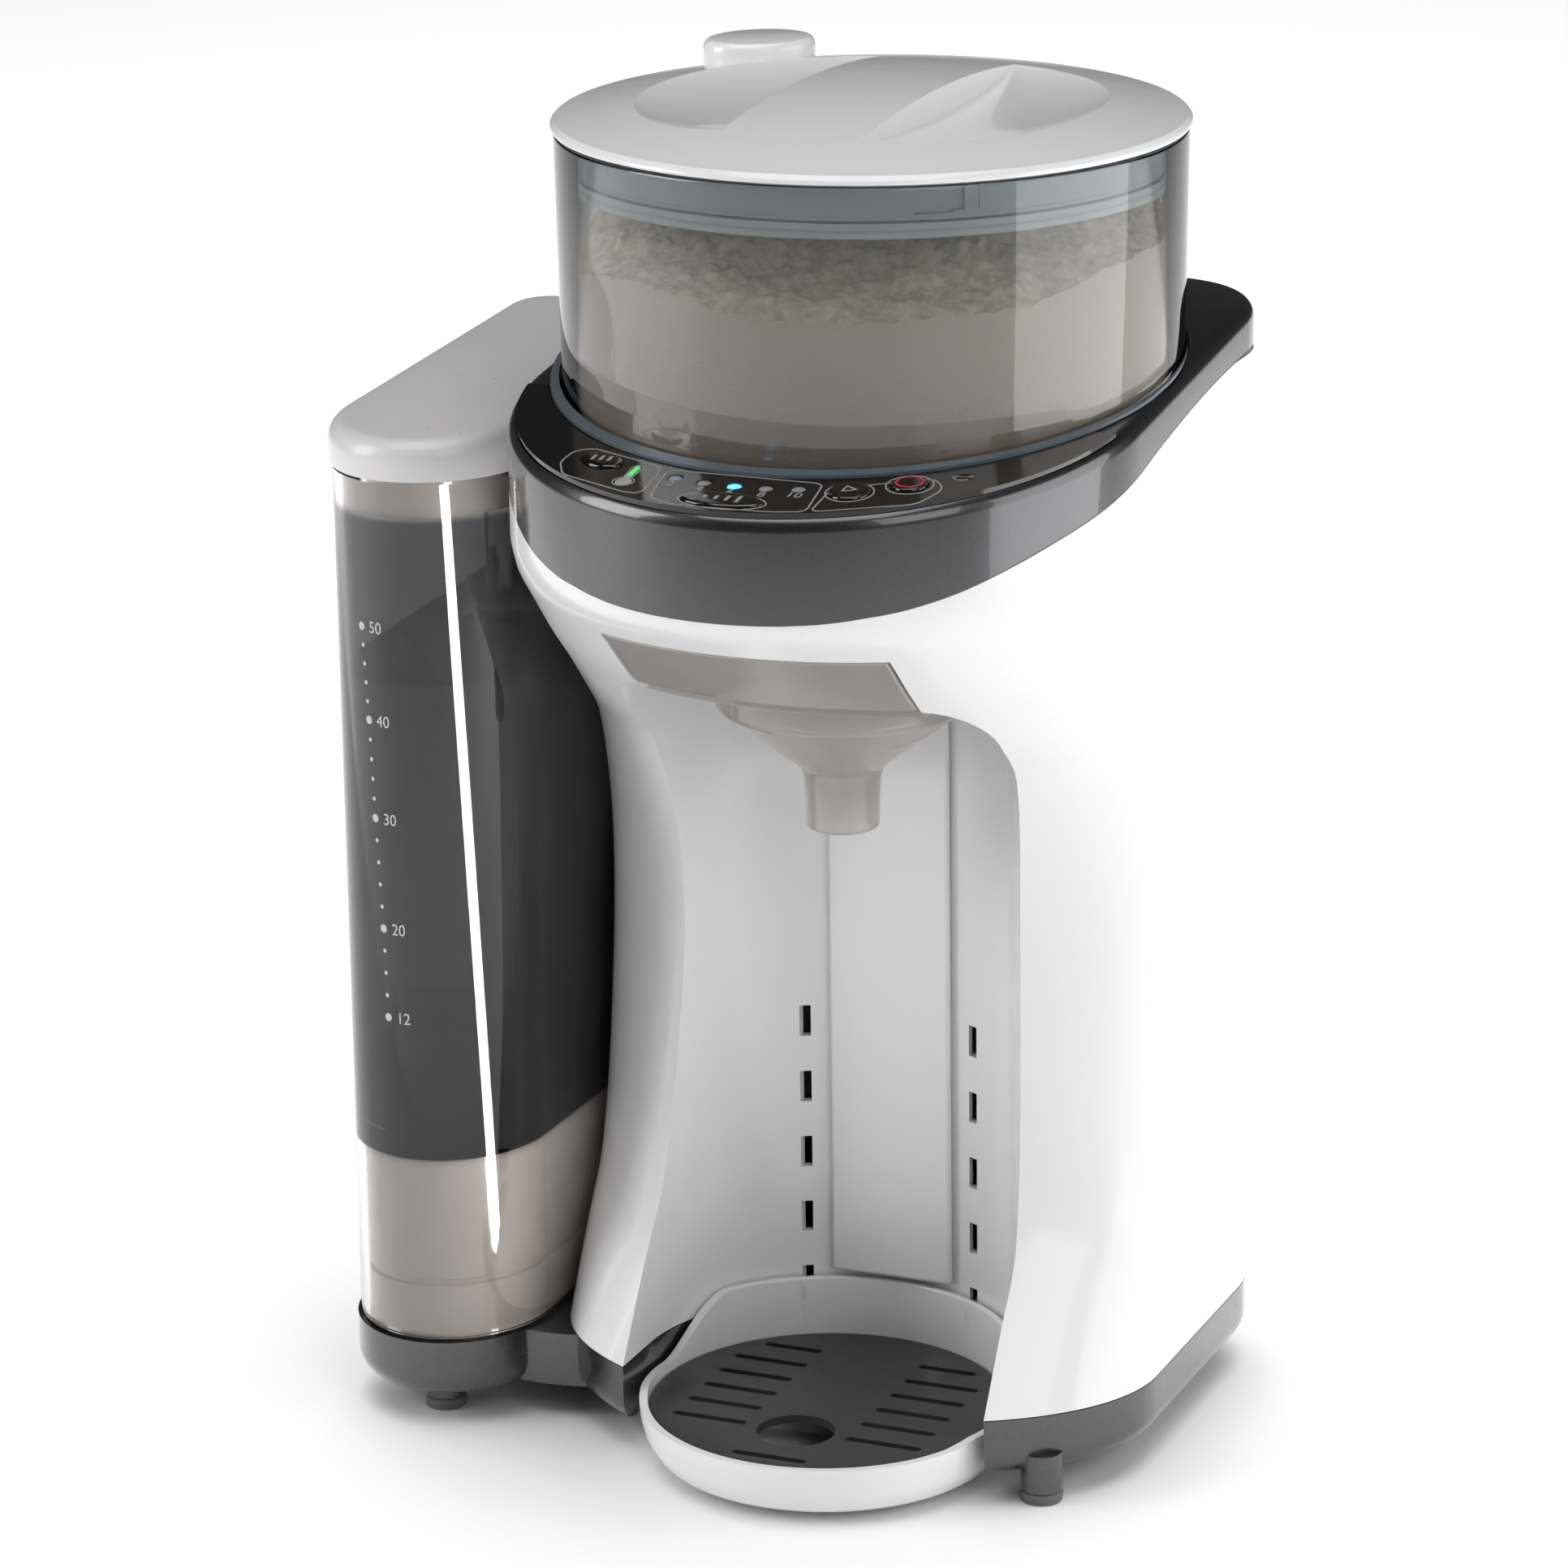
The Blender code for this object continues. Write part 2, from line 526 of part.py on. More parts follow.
def make_container():
    """Clear powder container with its floor, dosing wheel and stirrer, and the lid in three parts."""
    foot, rim = CONTAINER_FOOT_Z, CONTAINER_RIM_Z
    outer, low = CONTAINER_RADIUS, CONTAINER_FOOT_RADIUS
    shell = turned("container_shell", ((0, foot + 3), (low - 2.5, foot + 3), (outer - 2.5, rim), (outer, rim),
                                       (low, foot), (0, foot)), "clear", steps=64)
    join(shell, box("container_tab", (-26, 80.4, rim - 2.7), (24, 12, 4.0)))
    cut(shell, rod("tab_trim", outer - 2.6, foot + 20, rim + 10, steps=64))
    cut(shell, rod("floor_exit", 9.0, 250, 275, at=(-5, FUNNEL_Y, 0)), rod("floor_bearing", 5.2, 250, 275))
    wheel = rod("dosing_wheel", 44, foot + 3.5, foot + 11.0, "white_abs", steps=40)
    for i in range(6):
        angle = math.radians(60 * i + 18)
        pocket = rod(f"pocket_{i}", 8.0, 250, 290, at=(24.6 * math.sin(angle), -24.6 * math.cos(angle), 0), steps=12)
        cut(wheel, pocket)
    spindle = turned("spindle", ((0, foot + 28), (3.2, foot + 28), (4.2, foot + 26), (4.2, foot - 0.4), (0, foot - 0.4)))
    keyway = box("spindle_key", (0, 0, foot), (3.2, 12, 4.0))
    join(wheel, spindle)
    cut(wheel, keyway)
    hub = tube("stirrer", 8.0, 4.6, foot + 12.2, foot + 24.0, "white_abs")
    for i in range(3):
        blade = box(f"stirrer_blade_{i}", (0, 0, 0), (62, 4.0, 3.0))
        angle = math.radians(120 * i)
        blade.location = Vector((37 * math.cos(angle), 37 * math.sin(angle), foot + 14.6)) * MM
        blade.rotation_euler = (math.radians(28), 0, angle)
        join(hub, blade)
        paddle = box(f"stirrer_paddle_{i}", (0, 0, 0), (4.0, 3.0, 22))
        paddle.location = Vector((65 * math.cos(angle), 65 * math.sin(angle), foot + 24.0)) * MM
        paddle.rotation_euler = (0, 0, angle)
        join(hub, paddle)
    cut(hub, rod("stirrer_bore", 4.6, 250, 300))
    return wheel, hub


def make_lid():
    """White lid cover with two finger hollows, its frosted skirt and the seal under it."""
    rim, radius = CONTAINER_RIM_Z, LID_RADIUS
    crown = rim + LID_RISE + 1.8
    profile = [(0, crown)]
    for i in range(1, 6):
        r = (radius - 3.0) * i / 5
        profile.append((r, crown - 8.0 * (r / (radius - 1.0)) ** 2))
    profile += [(radius - 0.7, rim + 2.8), (radius, rim + 1.9), (radius, rim + 0.9), (radius - 1.2, rim + 0.5), (0, rim + 0.5)]
    cover = turned("lid_cover", profile, "white_abs", steps=64)
    tab_turn = math.radians(134.0)
    lobe = []
    for i in range(24):
        angle = 2 * math.pi * i / 24
        out, across = 80.0 + 12.5 * math.cos(angle), 15.5 * math.sin(angle)
        lobe.append((out * math.cos(tab_turn) - across * math.sin(tab_turn),
                     out * math.sin(tab_turn) + across * math.cos(tab_turn)))
    join(cover, prism("lid_thumb_tab", lobe, rim + 1.5, rim + 9.8))
    for side in (-1, 1):
        hollow = turned(f"grip_{side}", ((0, 24), (9, 22.4), (17, 17.5), (22.5, 9), (24, 0), (22.5, -9), (17, -17.5),
                                         (9, -22.4), (0, -24)), at=(side * 24, 1, crown - 2.0), steps=24)
        hollow.scale = (1.64, 2.39, 0.27)
        bar = box(f"grip_side_{side}", (side * 69, 0, crown), (100, 140, 60))
        boolean(hollow, "INTERSECT", bar)
        cut(cover, hollow)
    skirt = turned("lid_skirt", ((0, rim + 0.2), (79.4, rim + 0.2), (79.4, rim - 9.0), (77.2, rim - 9.0),
                                 (77.2, rim - 1.6), (0, rim - 1.6)), "blue_grey", steps=56)
    groove = box("bayonet_drop", (0, 0, 0), (5.0, 8.0, 5.4))
    run = box("bayonet_run", (0, 0, 0), (11.0, 8.0, 2.4))
    for piece, turn, z in ((groove, -53.0, rim - 3.4), (run, -57.5, rim - 6.6)):
        angle = math.radians(turn)
        piece.location = Vector((79.4 * math.cos(angle), 79.4 * math.sin(angle), z)) * MM
        piece.rotation_euler = (0, 0, angle + math.pi / 2)
    cut(skirt, groove, run)
    seal = turned("lid_seal", ((79.2, rim - 9.5), (79.2, rim - 13.4), (75.0, rim - 13.4), (75.0, rim - 9.5)),
                  "silicone", steps=48)
    return cover, seal


def make_tank():
    """Smoke-clear water tank, its taupe foot and collar, lid, valve and float."""
    foot, floor, rim = TANK_FOOT_Z, TANK_FLOOR_Z, TANK_RIM_Z
    tank = prism("tank_shell", tank_outline(), foot, rim, "smoke")
    upper = prism("tank_room", tank_outline(2.2), floor + 2.4, 300)
    lower = prism("tank_skirt_room", tank_outline(2.2), 0, floor)
    outlet = rod("tank_outlet", 6.0, 60, 100, at=(-113.5, 44, 0))
    cut(tank, upper, lower, outlet)
    insert = prism("tank_foot", tank_outline(2.6), foot + 0.1, floor - 0.4, "taupe")
    cut(insert, prism("tank_foot_room", tank_outline(5.2), 0, floor - 4.0))
    neck = tube("tank_foot_neck", 12.0, 8.6, foot + 5, floor - 2, at=(-113.5, 44, 0))
    join(insert, neck)
    cut(insert, rod("tank_foot_bore", 8.6, 10, 120, at=(-113.5, 44, 0)))
    collar = prism("tank_collar", tank_outline(2.6), rim - 10.0, rim - 0.6, "taupe")
    cut(collar, prism("collar_room", tank_outline(4.8), 200, 300))

    def lid_top(y):
        return 279.6 + 0.052 * (y - TANK_BACK) + 5.0

    rings = [[(x, y, rim + 0.3) for x, y in tank_outline(-0.9)],
             [(x, y, lid_top(y) - 5.0) for x, y in tank_outline(-0.9)],
             [(x, y, lid_top(y) - 1.6) for x, y in tank_outline(0.4)],
             [(x, y, lid_top(y)) for x, y in tank_outline(4.0)]]
    lid = loft("tank_lid", rings, "white_abs")
    cut(lid, prism("tank_lid_room", tank_outline(2.0), 200, 274.0))
    join(lid, prism("tank_lid_lip", tank_outline(5.3), rim - 8, 276.0))
    cut(lid, prism("tank_lid_hollow", tank_outline(7.2), 200, 273.0))
    turned("tank_valve", ((0, floor + 5.2), (8.6, floor + 5.2), (9.2, floor + 2.9), (3.0, floor + 2.7),
                          (3.0, floor - 30), (0, floor - 30)), "silicone", (-113.5, 44, 0), 24)
    float_body = turned("tank_float", ((14, 207), (14, 194), (5.0, 194), (5.0, 207)), "white_abs", (-113.5, 10, 0), 24)
    guide = rod("float_guide", 4.0, floor + 2.6, 252, "clear", (-113.5, 10, 0), 16)
    socket = turned("tank_socket", ((7.9, 46.0), (7.9, 25.0), (9.2, 24.0), (9.2, 20.4), (13.0, 20.4), (13.0, 17.6), (9.0, 17.6), (9.0, 15.4),
                                    (4.2, 15.4), (4.2, 46.0)), "charcoal", (-113.5, 44, 0), 20)
    ring = tube("socket_ring", 8.45, 8.0, 38.0, 40.0, "rubber", (-113.5, 44, 0), 20)
    return tank, float_body, guide, socket, ring


def make_funnel():
    """Funnel drawer: curved face plate, frame, cone with spout, and the bulb in the cone."""
    y = FUNNEL_Y
    frame = box("funnel_drawer", (0, -36, FUNNEL_FRAME_Z + 2), (2 * 38.8, 92, 4.0), "taupe")
    cone = turned("funnel_cone", ((FUNNEL_RADIUS, FUNNEL_FRAME_Z + 3), (FUNNEL_RADIUS, FUNNEL_RIM_Z),
                                  (SPOUT_RADIUS + 1.2, CONE_END_Z + 1), (SPOUT_RADIUS, CONE_END_Z - 2),
                                  (SPOUT_RADIUS - 0.6, SPOUT_END_Z), (SPOUT_RADIUS - 2.2, SPOUT_END_Z),
                                  (SPOUT_RADIUS - 2.0, CONE_END_Z - 2), (FUNNEL_RADIUS - 2.0, FUNNEL_RIM_Z + 1.6),
                                  (FUNNEL_RADIUS - 2.0, FUNNEL_FRAME_Z + 3)), at=(0, y, 0), steps=36)
    hole = rod("funnel_mouth", FUNNEL_RADIUS - 1.0, 210, 230, at=(0, y, 0), steps=36)
    face_room = prism("face_block", [(-38.8, -120), (38.8, -120), (38.8, -60), (-38.8, -60)], 221.4, 239.4)
    outside = loft("funnel_outside", [body_ring(z) for z in (200, 205, 212, 219, 226, 232, 238, 244, 250)])
    inside = loft("funnel_inside", [body_ring(z, 3.0) for z in (200, 205, 212, 219, 226, 232, 238, 244, 250)])
    boolean(face_room, "INTERSECT", outside)
    cut(face_room, inside)
    boolean(frame, "INTERSECT", outside)
    join(frame, cone, face_room)
    cut(frame, hole)
    bulb = turned("splash_bulb", ((5.0, 207.6), (8.4, 205.4), (10.4, 201.2), (10.4, 198.4), (7.4, 193.0), (7.0, 182.0),
                                  (5.4, 182.0), (5.8, 193.4), (8.6, 198.8), (8.6, 201.0), (7.0, 204.0), (4.2, 206.0)),
                  "clear", (0, y, 0), 20)
    return frame, bulb


def make_works():
    """What the machine needs inside: drive, chute, pump, heater, hoses and boards."""
    y = FUNNEL_Y
    motor = box("drive_motor", (0, 6, 250.2), (26, 28, 12.0), "charcoal", 1.0)
    can = rod("motor_can", 5.6, -28, 0, at=(0, 20, 249.8), axis="Y")
    join(motor, can)
    cut(motor, rod("motor_bore", 3.2, 240, 262))
    dog = turned("drive_dog", ((0, 261.0), (2.9, 261.0), (2.9, 245.0), (0, 245.0)), "steel", steps=20)
    key = box("drive_key", (0, 0, 261.6), (2.4, 5.0, 3.0))
    join(dog, key)
    tube("powder_chute", 10.6, 9.0, 241.2, 257.6, "white_abs", (-5, y, 0))
    nozzle = turned("water_nozzle", ((4.1, 250), (4.1, 245), (2.6, 238), (1.2, 238), (1.2, 244), (2.4, 246), (2.4, 250)),
                    "charcoal", (18, y, 0), 20)
    pump = rod("water_pump", 17, -22, 22, "charcoal", (-48, 44, 44), 32, "Y")
    join(pump, box("pump_port", (-48, 14, 44), (14, 18, 14)))
    heater = box("water_heater", (30, 42, 110), (44, 34, 90), "steel", 3.0)
    sleeve = rod("heater_outlet_cut", 4.4, 60, 200, at=(30, 42, 0), steps=16)
    cut(heater, sleeve)
    hose("suction_hose", bend([(-113.5, 44, 15.1), (-113.5, 44, 13.4), (-72, 44, 13.4), (-68, 20, 30), (-62, 14, 44), (-55.4, 14, 44)], 0.5, 2), 1.4, "silicone")
    hose("feed_hose", bend([(-48, 44, 61.4), (-48, 44, 82), (-10, 52, 82), (-10, 52, 50), (30, 42, 50), (30, 42, 72)], 6), 3.0, "silicone")
    hose("hot_hose", bend([(30, 42, 150), (30, 42, 238), (25, 10, 253.4), (18, y, 253.4), (18, y, 250.4)], 2.6), 2.6, "silicone")
    board = box("main_board", (46, 74.0, 110), (40, 1.8, 90), "circuit")
    bezel = box("switch_bezel", (-30, BACK_Y + 3.8, 62), (22, 2.0, 28), "charcoal", 0.6)
    cut(bezel, box("bezel_hole", (-30, BACK_Y, 62), (14.8, 12, 20.8)))
    rocker = side_prism("power_switch",
                        [(-7.0, -8.6), (1.2, -8.6), (2.2, 0), (3.6, 8.6), (-7.0, 8.6)], -6.9, 6.9, "black_gloss")
    rocker.location = Vector((-30, BACK_Y + 3.6, 62)) * MM
    gland = turned("cord_gland", ((0, 8.0), (3.4, 8.0), (4.6, 1.6), (7.4, 1.6), (7.4, -0.2), (4.8, -0.2),
                                  (4.8, -6), (0, -6)), "rubber", (34, BACK_Y + 3.0, 50), 24)
    gland.rotation_euler = (math.radians(-90), 0, 0)
    return motor, dog, nozzle, board


def make_stand():
    """Bottle stand with its raised back and hooks, and the drip grid in it."""
    y = BAY_Y
    stand = turned("bottle_stand", ((0, 4.6), (STAND_FOOT_RADIUS - 2, 4.6), (STAND_RADIUS - 4.0, 8.6),
                                    (STAND_RADIUS - 2.2, 14), (STAND_RADIUS - 2.2, 32.0), (STAND_RADIUS - 0.6, 32.0),
                                    (STAND_RADIUS, 30), (STAND_RADIUS, 14), (STAND_RADIUS - 1.6, 8),
                                    (STAND_FOOT_RADIUS, 3.2), (STAND_FOOT_RADIUS - 3, 2.4), (0, 2.4)),
                   "white_abs", (0, y, 0), 56)
    outline = [(-100, 17.0), (-70, 17.0), (-62, 17.2), (-54, 18.2)]
    for i in range(9):
        t = i / 8
        outline.append((-34 + 26 * t, 17.6 + 14.8 * (3 * t * t - 2 * t**3)))
    outline += [(20, 32.6), (20, 60), (-100, 60)]
    cut(stand, side_prism("rim_sweep", outline, -70, 70))
    for side in (-1, 1):
        hook = box(f"hook_{side}", (side * SLOT_X, 8.0, SLOT_Z - 2.2), (2.0, 10.0, 4.0))
        join(stand, hook)
    grid = turned("drip_grid", ((0, 15.9), (47.2, 15.9), (47.8, 15.2), (47.8, 13.6), (0, 13.6)), "charcoal", (0, y, 0), 56)
    posts = []
    for i in range(4):
        angle = math.radians(45 + 90 * i)
        posts.append(rod(f"grid_post_{i}", 2.4, 5.0, 14.5, at=(36 * math.cos(angle), y + 36 * math.sin(angle), 0), steps=12))
    join(grid, *posts)
    cut(grid, rod("grid_hole", 10.6, 0, 30, at=(0, -61.5, 0), steps=32))
    rows = 8
    for i in range(rows):
        row_y = -61.5 + 10.6 * i
        if row_y > y + 38:
            break
        outer = min(35.8, math.sqrt(43.5**2 - (row_y - y) ** 2))
        for side in (-1, 1):
            start = 14.4
            slot = box(f"grid_slot_{i}_{side}", (side * (start + outer) / 2, row_y, 15), (outer - start, 2.6, 12))
            add_bevel(slot, 1.2, 1, 60)
            cut(grid, slot)
    cut(grid, add_bevel(box("grid_slot_front", (0, -80.0, 15), (21.0, 2.6, 12)), 1.2, 1, 60))
    return stand, grid


def main():
    clear_scene()
    make_collections()
    make_housing()
    make_bay_spine()
    make_shroud()
    make_panel()
    make_base()
    make_deck()
    make_container()
    make_lid()
    make_tank()
    make_funnel()
    make_works()
    make_stand()


main()
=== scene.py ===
"""Formula dispenser: the looks of a countertop machine that mixes warm water and milk powder.

All working sizes are millimetres in machine coordinates: X = Y = 0 on the powder container's
axis, Z = 0 on the table, and the machine faces -Y.
"""

import json
import math

import bmesh
import bpy
from bpy.props import FloatProperty, FloatVectorProperty, PointerProperty
from mathutils import Matrix, Vector, noise


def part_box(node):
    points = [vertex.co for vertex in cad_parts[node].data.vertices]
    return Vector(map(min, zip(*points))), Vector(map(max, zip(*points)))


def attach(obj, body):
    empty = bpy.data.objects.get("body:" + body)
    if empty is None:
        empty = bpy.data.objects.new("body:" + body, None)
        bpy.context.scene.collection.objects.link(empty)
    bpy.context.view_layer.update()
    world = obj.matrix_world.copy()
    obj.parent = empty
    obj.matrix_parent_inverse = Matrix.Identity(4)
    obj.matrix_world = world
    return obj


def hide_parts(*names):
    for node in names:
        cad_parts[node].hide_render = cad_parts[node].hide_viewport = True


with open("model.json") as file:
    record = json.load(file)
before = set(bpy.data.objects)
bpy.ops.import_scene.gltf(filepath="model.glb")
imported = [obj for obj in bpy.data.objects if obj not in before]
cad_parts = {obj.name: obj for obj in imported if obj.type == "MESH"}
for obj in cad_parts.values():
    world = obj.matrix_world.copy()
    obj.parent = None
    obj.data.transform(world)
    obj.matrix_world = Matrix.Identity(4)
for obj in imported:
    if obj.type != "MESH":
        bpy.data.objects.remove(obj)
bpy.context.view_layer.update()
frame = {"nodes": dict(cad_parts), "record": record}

bl_info = {
    "name": "Formula Dispenser",
    "version": (1, 0, 0),
    "blender": (4, 5, 0),
    "location": "3D View > Sidebar > Dispenser",
    "description": "Models and finishes the pieces of a powder and water dispenser",
    "category": "Object",
}


def box_mm(node):
    """A frame node's lowest and highest corners, in millimetres."""
    low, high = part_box(node)
    return Vector(low) * 1000, Vector(high) * 1000


# The dosing wheel is centred on the container's axis, so it gives the machine's own origin.
WHEEL_LOW, WHEEL_HIGH = box_mm("dosing_wheel")
AXIS = (WHEEL_LOW + WHEEL_HIGH) / 2
PLACE = Matrix.Scale(0.001, 4) @ Matrix.Translation((AXIS.x, AXIS.y, 0))

HALF_WIDTH, BACK_Y, BACK_RADIUS, WALL = 84.3, 86.4, 30.0, 2.5
# The C-shaped front: height, centre of the nose ellipse, depth of the nose ellipse.
NOSE = (
    (25, -12, 58), (46, -1, 55), (66, 10, 52), (110, 18.5, 50), (157, 21, 50),
    (192, 15.2, 56), (205, 6.7, 62), (216, -1.2, 68), (226, -9.8, 72),
    (238, -18.5, 77), (248, -25, 82), (256, -27.5, 84),
)
# Lower edge of the dark band, front to back: Y, Z.
BAND_EDGE = (
    (-113, 252), (-107, 253.2), (-97, 256.6), (-88, 260), (-78, 264.2), (-65, 268.8),
    (-50, 272.8), (-30, 277.6), (-8, 282.4), (18, 287), (44, 290.2), (80, 292.6),
)
# Height of the powder against the wall, by angle round the container's axis.
POWDER_EDGE = (
    (0, 331.9), (60, 333), (120, 331), (180, 325), (217, 322.6), (234, 326.6), (244, 327.4), (254, 325.6),
    (264, 323.2), (284, 322.2), (307, 323), (320, 324.4), (333, 327.8), (343, 331), (360, 331.9),
)
TOP_Z, TOP_SLOPE = 295.4, 0.137
BAY_Y, BAY_RADIUS, BAY_TOP, BAY_ROUND = -39.0, 52.0, 221.0, 14.0
CHANNEL_HALF, CHANNEL_TOP, CHANNEL_BACK = 39.6, 240.0, 13.0
SLOT_X, SLOT_Z, SLOT_PITCH, SLOT_COUNT = 24.5, 30.0, 19.0, 5
FUNNEL_Y, FUNNEL_RADIUS, SPOUT_RADIUS = -24.0, 33.5, 10.2
CONTAINER_FOOT_Z, CONTAINER_RIM_Z = 262.0, 357.0
CONTAINER_RADIUS, CONTAINER_FOOT_RADIUS = 82.4, 81.0
TANK_LEFT, TANK_RIGHT, TANK_BACK = -140.5, -86.4, 86.0
TANK_NOSE_Y, TANK_NOSE_DEPTH = -29.0, 31.0
TANK_OUTLET, FLOAT_AT = (-113.5, 44, 0), (-113.5, 10, 0)
TANK_FOOT_Z, TANK_FLOOR_Z, TANK_RIM_Z = 25.3, 77.0, 266.0
BASE_Z, HOUSING_FOOT_Z = 8.0, 25.0
STAND_RADIUS, STAND_FOOT_RADIUS = 50.8, 46.0
FEET = ((64, -46), (64, 58), (-112, -44), (-112, 60))
BUTTONS = {
    "temp_button": (-39.5, -85.5, 6.6, 4.0, 24.0),
    "ounce_button": (1.0, -103.4, 11.0, 4.4, 0.0),
    "start_button": (30.1, -90.9, 5.4, 5.4, 0.0),
    "stop_button": (43.0, -83.0, 4.6, 4.6, 0.0),
}
PRINT_THICK = 0.06
THERMOMETER, FUNNEL_LAMP = (-28.6, -93.0), (54.7, -74.8)
LEDS = ((2, -16.6, -91.6), (4, -8.2, -93.0), (6, 0.2, -93.4), (8, 8.6, -93.0), (10, 16.8, -91.6))


# ---- shapes ---------------------------------------------------------------------------------


def smooth_value(table, at):
    """Catmull-Rom interpolation of the rows of a table at its first column."""
    rows = list(table)
    if at <= rows[0][0]:
        return rows[0][1:]
    if at >= rows[-1][0]:
        return rows[-1][1:]
    k = max(i for i in range(len(rows) - 1) if rows[i][0] <= at)
    span = rows[k + 1][0] - rows[k][0]
    t = (at - rows[k][0]) / span
    before, start = rows[max(k - 1, 0)], rows[k]
    end, after = rows[k + 1], rows[min(k + 2, len(rows) - 1)]
    values = []
    for c in range(1, len(start)):
        m0 = (end[c] - before[c]) / (end[0] - before[0]) * span
        m1 = (after[c] - start[c]) / (after[0] - start[0]) * span
        values.append(
            (2 * t**3 - 3 * t**2 + 1) * start[c] + (t**3 - 2 * t**2 + t) * m0
            + (3 * t**2 - 2 * t**3) * end[c] + (t**3 - t**2) * m1
        )
    return values


def band_edge(y):
    return smooth_value(BAND_EDGE, y)[0]


def top_plane(y):
    """Height of the sloping top, which levels out towards the back."""
    return TOP_Z + TOP_SLOPE * y - 0.0012 * max(y - 30.0, 0.0) ** 2


def over_top(lift):
    """The sloping top's height plus `lift`, as a function of y."""
    return lambda y: top_plane(y) + lift


def arc(cx, cy, radius, start, end, steps, flat=1.0):
    """Points of an arc in degrees; `flat` scales its Y radius."""
    points = []
    for i in range(steps + 1):
        angle = math.radians(start + (end - start) * i / steps)
        points.append((cx + radius * math.cos(angle), cy + radius * flat * math.sin(angle)))
    return points


def rounded_plan(middle, half, nose_y, depth, back, corner, nose_steps, corner_steps):
    """A plan outline: half-ellipse nose, straight sides and rounded back corners."""
    return (arc(middle, nose_y, half, 180, 360, nose_steps, depth / half)
            + arc(middle + half - corner, back - corner, corner, 0, 90, corner_steps)
            + arc(middle - half + corner, back - corner, corner, 90, 180, corner_steps))


def body_outline(nose_y, depth, inset=0.0, nose_steps=96, corner_steps=12):
    return rounded_plan(0, HALF_WIDTH - inset, nose_y, depth - inset, BACK_Y - inset,
                        max(BACK_RADIUS - inset, 2.0), nose_steps, corner_steps)


def body_ring(z, inset=0.0, nose_steps=96, corner_steps=12):
    nose_y, depth = smooth_value(NOSE, z)
    return [(x, y, z) for x, y in body_outline(nose_y, depth, inset, nose_steps, corner_steps)]


def tank_outline(inset=0.0, nose_steps=72, corner_steps=10):
    middle, half = (TANK_LEFT + TANK_RIGHT) / 2, (TANK_RIGHT - TANK_LEFT) / 2 - inset
    return rounded_plan(middle, half, TANK_NOSE_Y, TANK_NOSE_DEPTH - inset, TANK_BACK - inset,
                        max(12.0 - inset, 2.0), nose_steps, corner_steps)


def oval(half_x, half_y, turn=0.0, steps=64):
    c, s = math.cos(math.radians(turn)), math.sin(math.radians(turn))
    return [(x * half_x * c + y * half_y * s, -x * half_x * s + y * half_y * c)
            for x, y in arc(0, 0, 1, 0, 360 * (1 - 1 / steps), steps - 1)]


def pill(length, width, steps=12):
    """A bar with half-round ends, lying along X."""
    r, reach = width / 2, length / 2 - width / 2
    return arc(reach, 0, r, -90, 90, steps) + arc(-reach, 0, r, 90, 270, steps)


def crescent(margin=0.0, steps=72):
    """The control panel's plan: between the band's rim and the ring round the container."""
    outer, inner, end_y = 82.2 + margin, 83.6 - margin, -39.0 + margin
    start = math.degrees(math.asin((end_y + 27.5) / outer))
    stop = math.degrees(math.asin((end_y + 3.5) / inner))
    return (arc(0, -27.5, outer, -180 - start, start, steps)
            + arc(0, -3.5, inner, stop, -180 - stop, steps))


def moved(outline, x, y):
    return [(x + px, y + py) for px, py in outline]


def raise_to(outline, height):
    """An outline in XY given a height, which may be a function of y."""
    level = height if callable(height) else (lambda y: height)
    return [(x, y, level(y)) for x, y in outline]


def skin(rings, start=True, end=True):
    """A loop extruded from ring to ring, each with equally many points, then closed at its ends."""
    bm = bmesh.new()
    row = bmesh.ops.create_circle(bm, radius=1.0, segments=len(rings[0]))["verts"]
    for vert, place in zip(row, rings[0]):
        vert.co = place
    loop = list(bm.edges)
    if start:
        bmesh.ops.contextual_create(bm, geom=loop)
    for ring in rings[1:]:
        made = bmesh.ops.extrude_edge_only(bm, edges=loop)["geom"]
        fresh = {v for v in made if isinstance(v, bmesh.types.BMVert)}
        row = [next(e.other_vert(v) for e in v.link_edges if e.other_vert(v) in fresh) for v in row]
        for vert, place in zip(row, ring):
            vert.co = place
        loop = [e for e in made if isinstance(e, bmesh.types.BMEdge) and fresh.issuperset(e.verts)]
    if end:
        bmesh.ops.contextual_create(bm, geom=loop)
    bmesh.ops.recalc_face_normals(bm, faces=bm.faces)
    return bm


def slab(outline, z0, z1, edge=0.0, steps=4):
    """An outline pulled up from z0 to z1, with its upper edge rounded by `edge`."""
    low = z0 if callable(z0) else (lambda y: z0)
    high = z1 if callable(z1) else (lambda y: z1)
    rings = [raise_to(outline, low)]
    if not edge:
        return skin(rings + [raise_to(outline, high)])
    cx = sum(x for x, _ in outline) / len(outline)
    cy = sum(y for _, y in outline) / len(outline)
    reach = max(math.hypot(x - cx, y - cy) for x, y in outline)
    for i in range(steps + 1):
        angle = math.pi / 2 * i / steps
        drop, scale = edge * (1 - math.sin(angle)), 1 - edge * (1 - math.cos(angle)) / reach
        rings.append([(cx + (x - cx) * scale, cy + (y - cy) * scale, high(y) - drop) for x, y in outline])
    return skin(rings)


def block(centre, size):
    bm = bmesh.new()
    bmesh.ops.create_cube(bm, size=1.0, matrix=Matrix.Translation(centre) @ Matrix.Diagonal((*size, 1.0)))
    return bm


